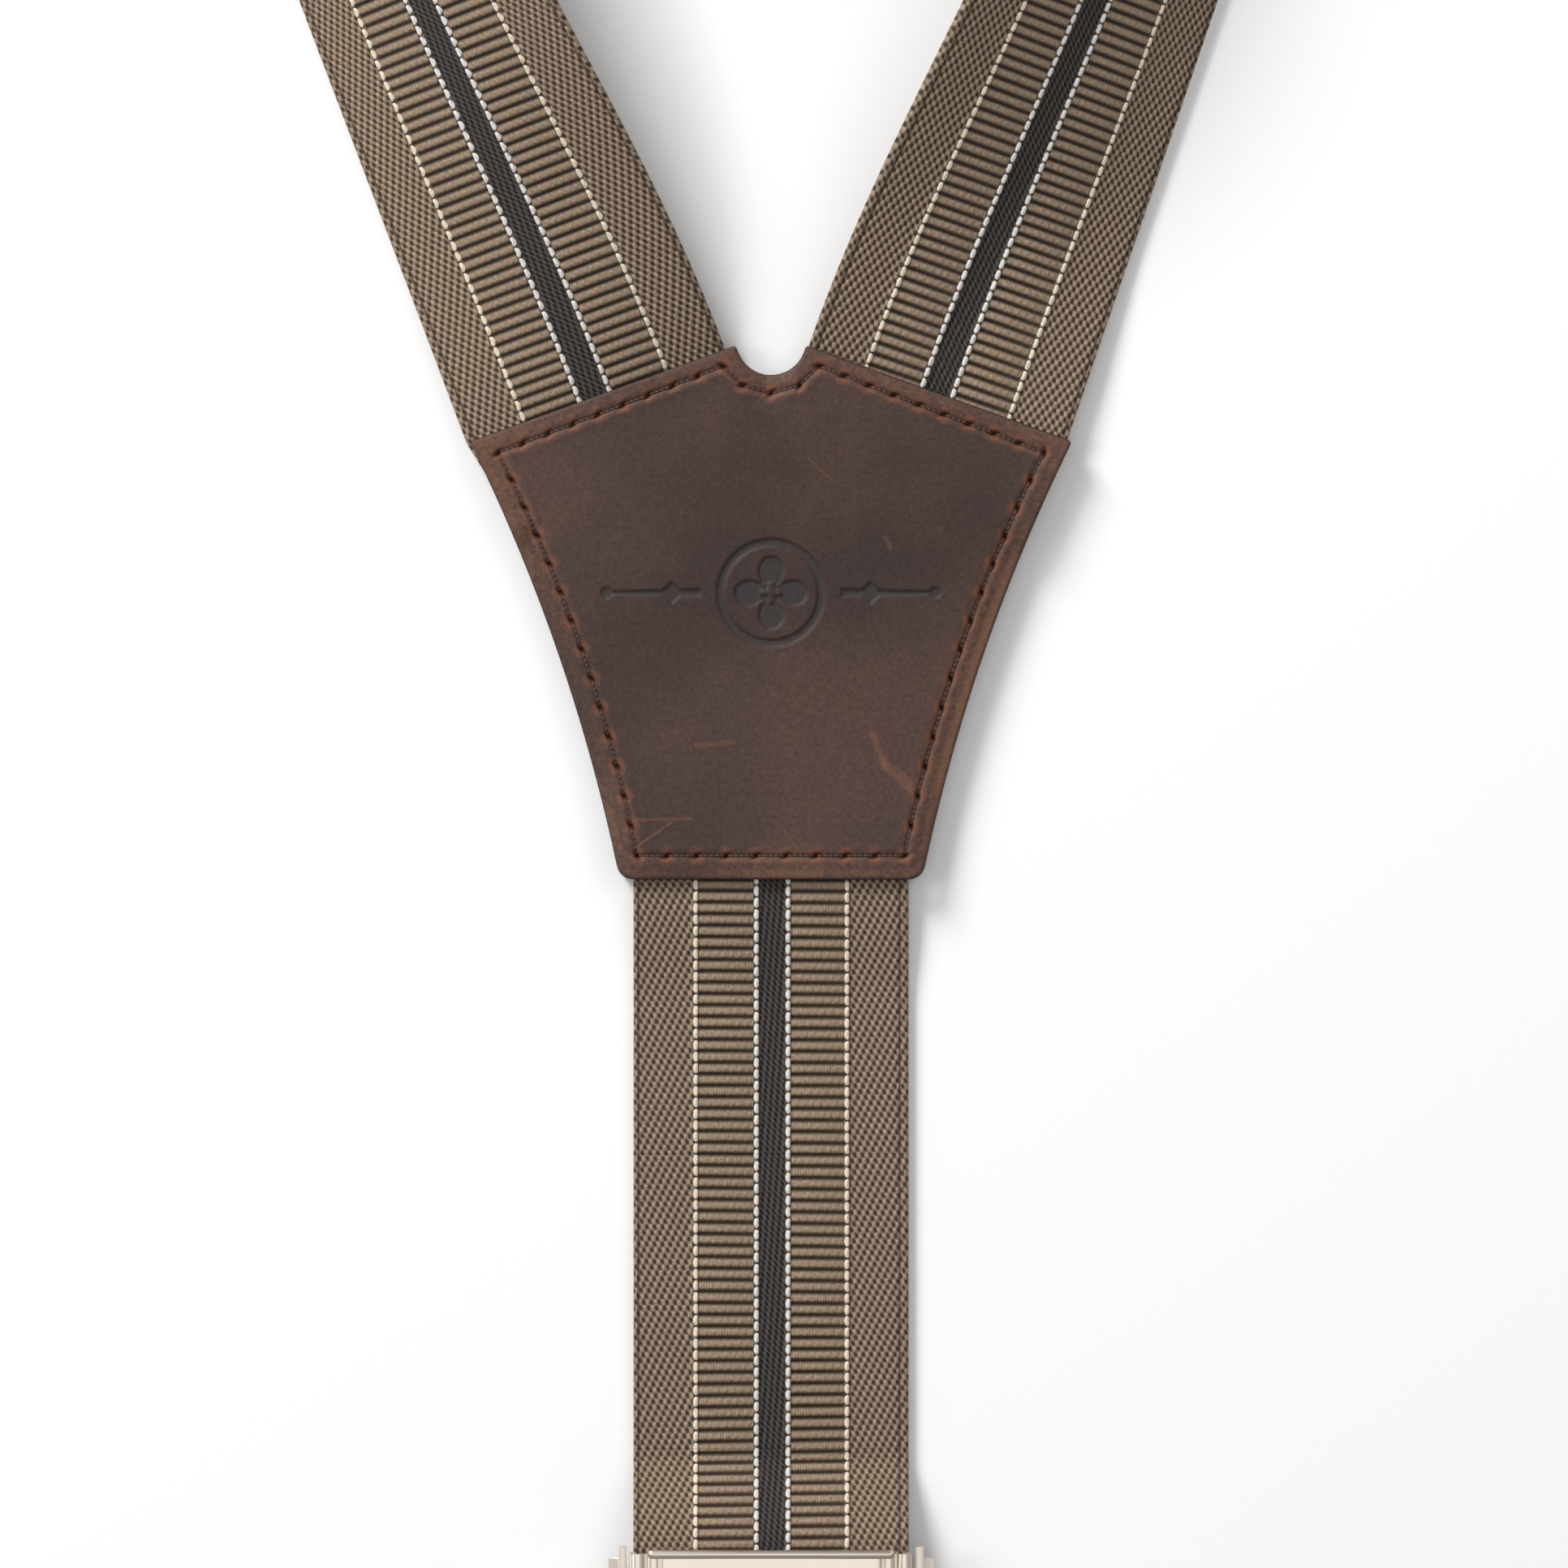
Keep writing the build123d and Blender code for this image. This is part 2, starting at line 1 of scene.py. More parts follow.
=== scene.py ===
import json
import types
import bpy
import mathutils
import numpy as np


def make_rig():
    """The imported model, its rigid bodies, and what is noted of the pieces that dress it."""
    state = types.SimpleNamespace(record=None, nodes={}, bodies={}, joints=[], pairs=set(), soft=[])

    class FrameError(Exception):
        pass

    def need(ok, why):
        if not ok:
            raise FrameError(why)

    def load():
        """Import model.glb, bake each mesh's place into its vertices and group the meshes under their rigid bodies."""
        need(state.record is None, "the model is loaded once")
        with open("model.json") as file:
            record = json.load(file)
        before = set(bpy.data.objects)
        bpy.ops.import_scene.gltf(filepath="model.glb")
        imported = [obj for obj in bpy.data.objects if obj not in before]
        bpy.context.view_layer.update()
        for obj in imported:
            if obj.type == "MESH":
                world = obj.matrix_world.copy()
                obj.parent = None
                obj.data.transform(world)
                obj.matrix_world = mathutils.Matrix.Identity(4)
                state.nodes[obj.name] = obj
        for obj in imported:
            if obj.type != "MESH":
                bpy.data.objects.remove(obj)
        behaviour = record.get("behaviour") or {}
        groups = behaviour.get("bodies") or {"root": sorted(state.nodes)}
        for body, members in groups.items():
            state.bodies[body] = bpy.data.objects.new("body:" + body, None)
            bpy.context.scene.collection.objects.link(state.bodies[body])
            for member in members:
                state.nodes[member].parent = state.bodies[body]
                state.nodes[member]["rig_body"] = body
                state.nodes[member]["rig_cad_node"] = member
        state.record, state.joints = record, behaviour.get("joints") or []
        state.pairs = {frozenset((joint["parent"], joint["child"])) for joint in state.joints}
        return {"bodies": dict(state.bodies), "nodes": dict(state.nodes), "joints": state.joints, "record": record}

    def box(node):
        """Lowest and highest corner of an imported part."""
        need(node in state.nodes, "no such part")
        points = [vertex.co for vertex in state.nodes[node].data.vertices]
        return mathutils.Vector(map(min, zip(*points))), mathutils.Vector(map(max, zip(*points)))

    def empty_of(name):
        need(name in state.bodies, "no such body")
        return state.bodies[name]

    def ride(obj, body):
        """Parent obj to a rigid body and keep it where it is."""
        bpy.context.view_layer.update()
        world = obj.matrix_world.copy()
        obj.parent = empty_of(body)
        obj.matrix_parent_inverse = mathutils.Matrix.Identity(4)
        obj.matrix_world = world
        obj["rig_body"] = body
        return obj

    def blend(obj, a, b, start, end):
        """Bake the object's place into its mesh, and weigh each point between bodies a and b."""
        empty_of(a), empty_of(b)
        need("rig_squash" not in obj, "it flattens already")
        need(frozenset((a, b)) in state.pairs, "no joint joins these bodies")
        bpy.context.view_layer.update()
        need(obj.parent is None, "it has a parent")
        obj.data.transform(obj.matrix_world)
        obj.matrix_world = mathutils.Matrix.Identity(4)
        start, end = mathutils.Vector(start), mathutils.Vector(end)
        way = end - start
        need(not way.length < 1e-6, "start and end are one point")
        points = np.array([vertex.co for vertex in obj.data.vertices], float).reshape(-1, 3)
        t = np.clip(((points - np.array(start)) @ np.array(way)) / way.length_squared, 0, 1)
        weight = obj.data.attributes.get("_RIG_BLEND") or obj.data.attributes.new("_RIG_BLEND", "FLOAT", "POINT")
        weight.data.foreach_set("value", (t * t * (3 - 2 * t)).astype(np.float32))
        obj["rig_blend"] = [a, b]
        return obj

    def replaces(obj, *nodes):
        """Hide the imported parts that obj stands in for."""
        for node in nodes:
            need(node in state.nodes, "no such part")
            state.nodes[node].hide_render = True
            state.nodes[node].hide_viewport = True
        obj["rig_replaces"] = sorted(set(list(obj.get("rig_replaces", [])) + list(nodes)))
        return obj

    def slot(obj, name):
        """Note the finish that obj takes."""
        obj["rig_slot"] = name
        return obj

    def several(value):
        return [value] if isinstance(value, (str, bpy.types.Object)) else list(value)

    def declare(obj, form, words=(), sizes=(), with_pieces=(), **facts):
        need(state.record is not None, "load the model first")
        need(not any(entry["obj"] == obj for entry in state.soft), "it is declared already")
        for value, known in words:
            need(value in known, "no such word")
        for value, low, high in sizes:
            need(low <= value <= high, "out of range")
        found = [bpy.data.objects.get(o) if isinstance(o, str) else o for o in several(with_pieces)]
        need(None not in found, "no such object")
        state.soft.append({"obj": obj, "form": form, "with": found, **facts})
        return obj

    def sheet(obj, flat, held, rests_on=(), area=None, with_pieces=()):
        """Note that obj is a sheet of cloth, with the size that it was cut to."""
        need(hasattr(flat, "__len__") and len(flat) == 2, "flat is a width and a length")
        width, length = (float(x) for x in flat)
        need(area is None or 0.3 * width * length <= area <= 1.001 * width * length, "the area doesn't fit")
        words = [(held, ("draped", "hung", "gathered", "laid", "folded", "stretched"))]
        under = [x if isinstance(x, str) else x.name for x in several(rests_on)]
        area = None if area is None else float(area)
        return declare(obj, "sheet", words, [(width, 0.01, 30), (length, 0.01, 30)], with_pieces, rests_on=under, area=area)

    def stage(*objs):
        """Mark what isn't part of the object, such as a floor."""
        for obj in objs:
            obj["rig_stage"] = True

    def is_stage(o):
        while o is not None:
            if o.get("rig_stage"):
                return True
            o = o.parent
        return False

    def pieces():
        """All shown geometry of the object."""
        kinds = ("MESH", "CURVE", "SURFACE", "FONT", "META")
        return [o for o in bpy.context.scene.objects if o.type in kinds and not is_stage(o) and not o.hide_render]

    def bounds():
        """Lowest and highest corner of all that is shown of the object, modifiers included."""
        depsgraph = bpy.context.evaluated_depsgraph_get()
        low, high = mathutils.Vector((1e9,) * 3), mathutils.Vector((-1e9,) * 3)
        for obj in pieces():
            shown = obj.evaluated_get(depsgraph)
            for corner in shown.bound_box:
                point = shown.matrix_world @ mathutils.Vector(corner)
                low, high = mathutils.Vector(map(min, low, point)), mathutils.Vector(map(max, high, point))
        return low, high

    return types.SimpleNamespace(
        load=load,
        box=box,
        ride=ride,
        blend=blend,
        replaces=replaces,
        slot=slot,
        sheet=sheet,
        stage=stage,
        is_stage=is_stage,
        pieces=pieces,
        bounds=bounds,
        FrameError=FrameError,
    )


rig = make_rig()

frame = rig.load()

import json
import math

import bmesh
import bpy
import numpy as np
from mathutils import Vector
from mathutils.geometry import delaunay_2d_cdt
from mathutils.kdtree import KDTree

# Looks of the Y-back suspenders. Lengths are in millimetres until a mesh is made,
# and MM turns them into Blender's metres.
MM = 0.001
CAD_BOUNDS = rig.bounds()
JOINTS = {joint["name"]: joint for joint in frame["joints"]}
SIDES = ("left", "right")


# ---------------------------------------------------------------- the frame's own places

def node_box(node):
    """A CAD node's lowest and highest corners, in millimetres."""
    low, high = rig.box(node)
    return np.array(low) / MM, np.array(high) / MM


def level(node):
    """Heights of a CAD node's underside and top."""
    low, high = node_box(node)
    return low[2], high[2]


def rod_size(node):
    """Height of a lying rod's middle, and its radius."""
    low, high = level(node)
    return (low + high) / 2, (high - low) / 2


class Strap:
    """A strap's own frame: x across, y along it from the yoke's edge, z up."""

    def __init__(self, fold, stretch):
        self.origin = np.array([*JOINTS[fold]["pos_m"][:2], 0.0]) / MM
        self.along = np.array(JOINTS[stretch]["axis"], float)
        self.up = np.array([0.0, 0.0, 1.0])
        self.across = np.cross(self.along, self.up)

    def world(self, x, y, z):
        """Points of the strap's frame in the row frame, still in millimetres."""
        x, y, z = np.broadcast_arrays(x, y, z)
        flat = self.origin + x[..., None] * self.across + y[..., None] * self.along
        return flat + z[..., None] * self.up

    def distance(self, joint):
        """How far along the strap a joint sits."""
        return float((np.array(JOINTS[joint]["pos_m"]) / MM - self.origin) @ self.along)

    def point(self, along, z=0.0):
        return tuple(self.world(0.0, float(along), float(z)) * MM)


FRONT = {side: Strap(f"strap_fold_{side}", f"strap_stretch_{side}") for side in SIDES}
BACK = Strap("back_strap_fold", "back_stretch")

# ---------------------------------------------------------------- meshes

def mesh_object(name, points, faces, uv=None, sharp=(), values=None):
    """A mesh from points in millimetres. uv is one pair per point; sharp holds flat-shaded faces."""
    mesh = bpy.data.meshes.new(name)
    mesh.from_pydata((np.asarray(points) * MM).tolist(), [], faces)
    mesh.polygons.foreach_set("use_smooth", [True] * len(mesh.polygons))
    for index in sharp:
        mesh.polygons[index].use_smooth = False
    if uv is not None:
        layer = mesh.uv_layers.new(name="UVMap")
        corners = np.empty(len(mesh.loops), int)
        mesh.loops.foreach_get("vertex_index", corners)
        layer.data.foreach_set("uv", np.asarray(uv)[corners].astype(np.float32).ravel())
    for key, numbers in (values or {}).items():
        attribute = mesh.attributes.new(key, "FLOAT", "POINT")
        attribute.data.foreach_set("value", np.asarray(numbers, np.float32))
    mesh.validate()
    made = bpy.data.objects.new(name, mesh)
    bpy.context.scene.collection.objects.link(made)
    return made


def ring_faces(rows, ring):
    """Quads between rows of a tube, and the two end caps."""
    faces = []
    for r in range(rows - 1):
        for c in range(ring):
            d = (c + 1) % ring
            faces.append((r * ring + c, r * ring + d, (r + 1) * ring + d, (r + 1) * ring + c))
    faces.append(tuple(range(ring - 1, -1, -1)))
    faces.append(tuple((rows - 1) * ring + c for c in range(ring)))
    return faces


def smoothstep(low, high, value):
    t = np.clip((value - low) / (high - low), 0.0, 1.0)
    return t * t * (3 - 2 * t)


def bell(value, half):
    """1 at zero, falling off smoothly to either side."""
    return np.exp(-((value / half) ** 2))


def unit(vectors):
    """Each row scaled to a length of 1."""
    return vectors / np.linalg.norm(vectors, axis=1)[:, None]


def run_lengths(points):
    """Length of a line up to each of its points."""
    return np.r_[0, np.cumsum(np.linalg.norm(np.diff(points, axis=0), axis=1))]


# ---------------------------------------------------------------- the webbing's pattern

WEB = 36.0  # width
THICK = 1.6
PLAIN_SINK = 0.1  # how far the woven face's middle level lies under the full thickness
RIB = 1.5  # pitch of the ribs, and of the thread dashes
ROW = RIB / 2  # rows of the pebble weave
GRAIN = 1.03  # pitch of the pebble weave across
WIDE_SELVEDGE = 1.15
NARROW_SELVEDGE = 0.65
CREAM_AT = (8.05, 27.85)
WHITE_AT = (15.75, 19.9)
THREAD_HALF = 0.32  # half the width of a dash
RIB_BANDS = ((8.4, 15.45), (20.25, 27.5))
DARK_BAND = (16.1, 19.6)
WEAVE_BANDS = ((WIDE_SELVEDGE, 7.75), (28.2, WEB - NARROW_SELVEDGE))
RIB_RISE = 0.42
BEAD_RISE = 0.3  # of the dashes
GRAIN_DEPTH = 0.16
GRAIN_SLANT = 0.22  # shift of the grains across, per millimetre along
DARK_SINK = 0.12
GROOVE_DEPTH, GROOVE_HALF = 0.2, 0.18  # the line beside each selvedge
SELVEDGE_ROUND = 0.55
EDGE_LEFT = 0.08  # share of the thickness at the very edge


def in_band(x, band, soft=0.12):
    low, high = band
    return smoothstep(low - soft, low + soft, x) * (1 - smoothstep(high - soft, high + soft, x))


def lattice(x, y):
    """1 on each grain of the pebble weave and -1 in each hole between them."""
    return np.cos(2 * math.pi * (x + GRAIN_SLANT * y) / GRAIN) * np.cos(math.pi * y / ROW)


def relief(x, y):
    """Height of the woven face over its middle level; x from the wide selvedge, y along."""
    phase = y / RIB - np.floor(y / RIB)
    bar = 1 - np.abs(2 * phase - 1) ** 3.0
    height = np.zeros_like(x + y)
    for band in RIB_BANDS:
        height += in_band(x, band) * RIB_RISE * (bar - 0.75)
    for band in WEAVE_BANDS:
        height += in_band(x, band) * GRAIN_DEPTH * (lattice(x, y) - 0.4)
    height -= in_band(x, DARK_BAND) * DARK_SINK
    late = np.mod(phase + 0.5, 1.0)
    for middle, along in [(m, phase) for m in CREAM_AT] + [(m, late) for m in WHITE_AT]:
        offset = (x - middle) / THREAD_HALF
        bead = np.sqrt(np.clip(1 - offset**2 - 0.8 * np.abs(2 * along - 1) ** 3, 0, 1))
        height += BEAD_RISE * bead * (np.abs(offset) < 1)
    for groove in (WIDE_SELVEDGE, WEB - NARROW_SELVEDGE):
        height -= GROOVE_DEPTH * bell(x - groove, GROOVE_HALF)
    return height


def edge_taper(x):
    """Share of the thickness left near a selvedge, which is round."""
    near = np.clip(np.minimum(x, WEB - x) / SELVEDGE_ROUND, 0, 1)
    return np.sqrt(1 - (1 - near) ** 2) * (1 - EDGE_LEFT) + EDGE_LEFT


def columns(detail):
    """Places across the webbing. detail 2 follows each grain, 1 each band, 0 only the width."""
    marks = [0, 0.06, 0.2, 0.45, WEB - 0.45, WEB - 0.2, WEB - 0.06, WEB]
    if detail > 0:
        for low, high in RIB_BANDS:
            marks += [low - 0.12, low + 0.12, (low + high) / 2, high - 0.12, high + 0.12]
        for middle in (*CREAM_AT, *WHITE_AT):
            marks += [middle + THREAD_HALF * k for k in (-1, -0.6, 0, 0.6, 1)]
        marks += [WIDE_SELVEDGE + k for k in (-0.2, 0, 0.2)]
        marks += [WEB - NARROW_SELVEDGE + k for k in (-0.15, 0, 0.2)]
    step = {0: 4.5, 1: 2.2, 2: GRAIN / 4}[detail]
    for low, high in (*WEAVE_BANDS, DARK_BAND):
        marks += list(np.arange(low + 0.4, high - 0.3, step))
    if detail == 0:
        marks += list(np.arange(8.0, 28.0, 2.5))
    return np.unique(np.round(marks, 3))


def skew(x, y):
    """The weft wanders a little, so ribs are not all square to the edges."""
    share = (x - WEB / 2) / (WEB / 2)
    return y + share * (0.22 * np.sin(y / 19.0) + 0.12 * np.sin(y / 7.3 + 1.0))


def webbing(name, path, start, end, detail, rows_per_rib):
    """A length of webbing. path(y, x, rise) gives its points for arrays of the same shape."""
    top = columns(detail)
    under = columns(min(detail, 1))[::-1][1:-1]
    count = max(2, int(round((end - start) / RIB * rows_per_rib)) + 1)
    y = np.linspace(start, end, count)[:, None]
    across = np.concatenate([top, under])[None, :]
    side = np.concatenate([np.ones(len(top)), -np.ones(len(under))])[None, :]
    woven = skew(across, y)
    lift = (THICK / 2 - PLAIN_SINK + relief(across, woven)) * edge_taper(across)
    lift = np.where(side < 0, np.minimum(lift, THICK / 2), lift)  # the underside lies on the table
    y, across, rise = np.broadcast_arrays(y, across, side * lift)
    points = path(y, across, rise)
    faces = ring_faces(count, across.shape[1])
    uv = np.stack([across, woven], -1).reshape(-1, 2) * MM
    ends = (len(faces) - 2, len(faces) - 1)
    made = mesh_object(name, points.reshape(-1, 3), faces, uv, sharp=ends)
    made.data.materials.append(WEBBING)
    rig.slot(made, "webbing")
    return made


# ---------------------------------------------------------------- node graphs

COLOUR_A, COLOUR_B, COLOUR_OUT = 6, 7, 2  # the Mix node's colour sockets


class Value:
    """A socket of a material's graph that takes part in plain arithmetic."""

    def __init__(self, graph, socket):
        self.graph, self.socket = graph, socket

    def __add__(self, other):
        return self.graph.math("ADD", self, other)

    __radd__ = __add__

    def __sub__(self, other):
        return self.graph.math("SUBTRACT", self, other)

    def __rsub__(self, other):
        return self.graph.math("SUBTRACT", other, self)

    def __mul__(self, other):
        return self.graph.math("MULTIPLY", self, other)

    __rmul__ = __mul__

    def __truediv__(self, other):
        return self.graph.math("DIVIDE", self, other)


class Graph:
    """One procedural material."""

    def __init__(self, name):
        self.material = bpy.data.materials.new(name)
        self.material.use_nodes = True
        self.nodes = self.material.node_tree.nodes
        self.links = self.material.node_tree.links
        self.shader = self.nodes["Principled BSDF"]

    def plug(self, value, socket):
        if isinstance(value, Value):
            self.links.new(value.socket, socket)
        else:
            socket.default_value = value

    def math(self, operation, *values, clamp=False):
        node = self.nodes.new("ShaderNodeMath")
        node.operation, node.use_clamp = operation, clamp
        for value, socket in zip(values, node.inputs):
            self.plug(value, socket)
        return Value(self, node.outputs[0])

    def fract(self, value):
        return self.math("FRACT", value)

    def smooth(self, low, high, value):
        node = self.nodes.new("ShaderNodeMapRange")
        node.interpolation_type = "SMOOTHSTEP"
        self.plug(value, node.inputs["Value"])
        node.inputs["From Min"].default_value = low
        node.inputs["From Max"].default_value = high
        return Value(self, node.outputs["Result"])

    def band(self, value, low, high, soft=0.1):
        return self.smooth(low - soft, low + soft, value) * (
            1 - self.smooth(high - soft, high + soft, value)
        )

    def uv(self):
        """The webbing's own coordinates, in millimetres."""
        node = self.nodes.new("ShaderNodeUVMap")
        node.uv_map = "UVMap"
        parts = self.nodes.new("ShaderNodeSeparateXYZ")
        self.links.new(node.outputs["UV"], parts.inputs[0])
        return Value(self, parts.outputs["X"]) / MM, Value(self, parts.outputs["Y"]) / MM

    def position(self):
        """Object coordinates, which are the row frame in metres on a rigid piece."""
        node = self.nodes.new("ShaderNodeTexCoord")
        return Value(self, node.outputs["Object"])

    def attribute(self, name):
        node = self.nodes.new("ShaderNodeAttribute")
        node.attribute_name = name
        return Value(self, node.outputs["Fac"])

    def vector(self, x, y):
        node = self.nodes.new("ShaderNodeCombineXYZ")
        for value, socket in zip((x, y), node.inputs):
            self.plug(value, socket)
        return Value(self, node.outputs[0])

    def noise(self, vector, scale, detail=3.0, rough=0.55, stretch=None):
        if stretch:
            mapping = self.nodes.new("ShaderNodeMapping")
            mapping.inputs["Scale"].default_value = stretch
            self.plug(vector, mapping.inputs["Vector"])
            vector = Value(self, mapping.outputs[0])
        node = self.nodes.new("ShaderNodeTexNoise")
        self.plug(vector, node.inputs["Vector"])
        node.inputs["Scale"].default_value = scale
        node.inputs["Detail"].default_value = detail
        node.inputs["Roughness"].default_value = rough
        return Value(self, node.outputs["Fac"])

    def cells(self, vector, scale):
        node = self.nodes.new("ShaderNodeTexVoronoi")
        self.plug(vector, node.inputs["Vector"])
        node.inputs["Scale"].default_value = scale
        return Value(self, node.outputs["Distance"])

    def segment(self, place, start, end):
        """Distance in millimetres, seen from above, to a straight mark."""
        parts = self.nodes.new("ShaderNodeSeparateXYZ")
        self.plug(place, parts.inputs[0])
        x = Value(self, parts.outputs["X"]) / MM - start[0]
        y = Value(self, parts.outputs["Y"]) / MM - start[1]
        run, rise = end[0] - start[0], end[1] - start[1]
        share = self.math("MULTIPLY", x * run + y * rise, 1 / (run**2 + rise**2), clamp=True)
        x, y = x - share * run, y - share * rise
        return self.math("SQRT", x * x + y * y)

    def mix(self, share, first, second):
        """Blends two colours; each is a linear RGB tuple or another blend."""
        node = self.nodes.new("ShaderNodeMix")
        node.data_type = "RGBA"
        node.clamp_factor = True
        self.plug(share, node.inputs["Factor"])
        self.plug(first, node.inputs[COLOUR_A])
        self.plug(second, node.inputs[COLOUR_B])
        return Value(self, node.outputs[COLOUR_OUT])

    def scaled(self, colour, factor):
        """A colour made lighter or darker by a factor."""
        node = self.nodes.new("ShaderNodeVectorMath")
        node.operation = "SCALE"
        self.plug(colour if isinstance(colour, Value) else colour[:3], node.inputs[0])
        self.plug(factor, node.inputs["Scale"])
        return Value(self, node.outputs[0])

    def bump(self, height, depth, strength):
        """Bump from a height of 0 to 1 times a depth in millimetres."""
        node = self.nodes.new("ShaderNodeBump")
        node.inputs["Strength"].default_value = strength
        node.inputs["Distance"].default_value = depth * MM
        self.plug(height, node.inputs["Height"])
        self.links.new(node.outputs[0], self.shader.inputs["Normal"])

    def finish(self, colour, roughness, **settings):
        self.plug(colour, self.shader.inputs["Base Color"])
        self.plug(roughness, self.shader.inputs["Roughness"])
        for key, value in settings.items():
            self.shader.inputs[key.replace("_", " ")].default_value = value
        return self.material


def rgb(red, green, blue):
    """Linear colour from a display colour of 0 to 255."""
    linear = []
    for channel in (red, green, blue):
        share = channel / 255
        linear.append(share / 12.92 if share <= 0.04045 else ((share + 0.055) / 1.055) ** 2.4)
    return (*linear, 1.0)


# ---------------------------------------------------------------- materials

STRAND = 0.36  # pitch of the strands in a rib
FINE_GRAIN, FINE_SLANT = 0.8, 0.45  # the dark band's weave


def webbing_material():
    """Taupe elastic webbing with ribs, a dark middle band and four lines of dashes."""
    g = Graph("webbing")
    x, y = g.uv()
    plane = g.vector(x, y)
    phase = g.fract(y / RIB)
    off_middle = g.math("ABSOLUTE", phase * 2.0 - 1.0)
    yarn = g.noise(plane, 2.6, 3.0, 0.6)
    fleck = g.noise(plane, 9.0, 2.0, 0.6)
    patch = g.noise(plane, 0.09, 3.0, 0.55)
    # Pebble weave: rounded grains on a staggered lattice, with painted shade in the dark holes between them.
    grain_x = g.math("COSINE", (x + y * GRAIN_SLANT) * (2 * math.pi / GRAIN))
    grain_y = g.math("COSINE", y * (math.pi / ROW))
    pebble = grain_x * grain_y
    grain_colour = g.mix(g.smooth(0.3, 0.7, yarn), rgb(141, 121, 101), rgb(174, 153, 132))
    weave = g.mix(g.smooth(-0.8, 0.7, pebble + (fleck - 0.5) * 0.6), rgb(62, 49, 38), grain_colour)
    # Ribs: rounded bars of slanting strands, with painted shade darkening each bar from its middle into the groove
    # between.
    strand = g.math("SINE", x * (2 * math.pi / STRAND) + y * 1.6 + yarn * 4.0)
    rib_colour = g.mix(g.smooth(0.3, 0.75, yarn), rgb(139, 119, 99), rgb(173, 152, 128))
    rib_colour = g.mix(g.smooth(0.2, 1.0, strand) * 0.45, rib_colour, rgb(92, 76, 61))
    # painted shade: darker from each rib's middle into the groove
    groove = g.smooth(0.22, 0.92, off_middle + (fleck - 0.5) * 0.22)
    ribs = g.mix(groove, rib_colour, rgb(52, 42, 34))
    # Dark middle band: a finer slanting weave of dark yarn, with painted shade in its holes.
    fine_x = g.math("COSINE", (x + y * FINE_SLANT) * (2 * math.pi / FINE_GRAIN))
    fine = fine_x * grain_y
    dark_yarn = g.mix(g.smooth(0.3, 0.7, fleck), rgb(64, 57, 54), rgb(92, 84, 79))
    dark = g.mix(g.smooth(-0.8, 0.7, fine + (fleck - 0.5) * 0.5), rgb(20, 18, 18), dark_yarn)
    colour = weave
    for low, high in RIB_BANDS:
        colour = g.mix(g.band(x, low, high), colour, ribs)
    colour = g.mix(g.band(x, *DARK_BAND), colour, dark)
    late = g.math("ABSOLUTE", g.fract(phase + 0.5) * 2.0 - 1.0)
    wander = (yarn - 0.5) * 0.14
    for spots, tint, share in (
        (CREAM_AT, rgb(226, 214, 190), off_middle),
        (WHITE_AT, rgb(222, 218, 214), late),
    ):
        for middle in spots:
            offset = (x - middle + wander + (share - 0.5) * 0.1) / THREAD_HALF
            bed = 1.0 - g.smooth(1.0, 1.7, g.math("ABSOLUTE", offset))
            colour = g.mix(bed * 0.6, colour, rgb(56, 47, 39))
            bead = offset * offset * 0.75 + share * share * share * 1.25
            dash = 1.0 - g.smooth(0.55, 0.95, bead + (fleck - 0.5) * 0.3)
            colour = g.mix(dash, colour, g.scaled(tint, 0.82 + fleck * 0.3))
    for groove_at in (WIDE_SELVEDGE, WEB - NARROW_SELVEDGE):
        line = 1.0 - g.smooth(0.06, 0.26, g.math("ABSOLUTE", x - groove_at))
        colour = g.mix(line * 0.7, colour, rgb(58, 47, 38))
    colour = g.scaled(colour, 0.92 + patch * 0.18)
    height = g.smooth(-1.0, 1.0, pebble) * 0.6 + fleck * 0.4
    g.bump(height, 0.16, 0.8)
    return g.finish(colour, 0.88, Sheen_Weight=0.08, Sheen_Roughness=0.5, Specular_IOR_Level=0.2)


# A painted shade darkens the middle of the yoke a little, around a line between two points in millimetres.
DARKENED = ((-4.0, 9.0), (12.0, 13.0))

# Light scratches on the yoke: two ends in millimetres, half width and strength.
SCRATCHES = (
    ((13.2, -15.8), (14.8, -20.0), 0.45, 0.8),
    ((14.8, -20.0), (18.6, -23.2), 0.7, 0.9),
    ((-9.8, -17.5), (-5.0, -17.0), 0.3, 0.6),
    ((-17.4, -30.6), (-12.9, -27.4), 0.14, 1.0),
    ((-17.8, -27.2), (-10.4, -27.0), 0.2, 0.7),
    ((1.6, -28.4), (3.4, -30.9), 0.12, 0.7),
    ((4.8, 20.2), (8.0, 17.1), 0.1, 0.7),
    ((15.0, 9.6), (15.6, 8.4), 0.25, 0.6),
)


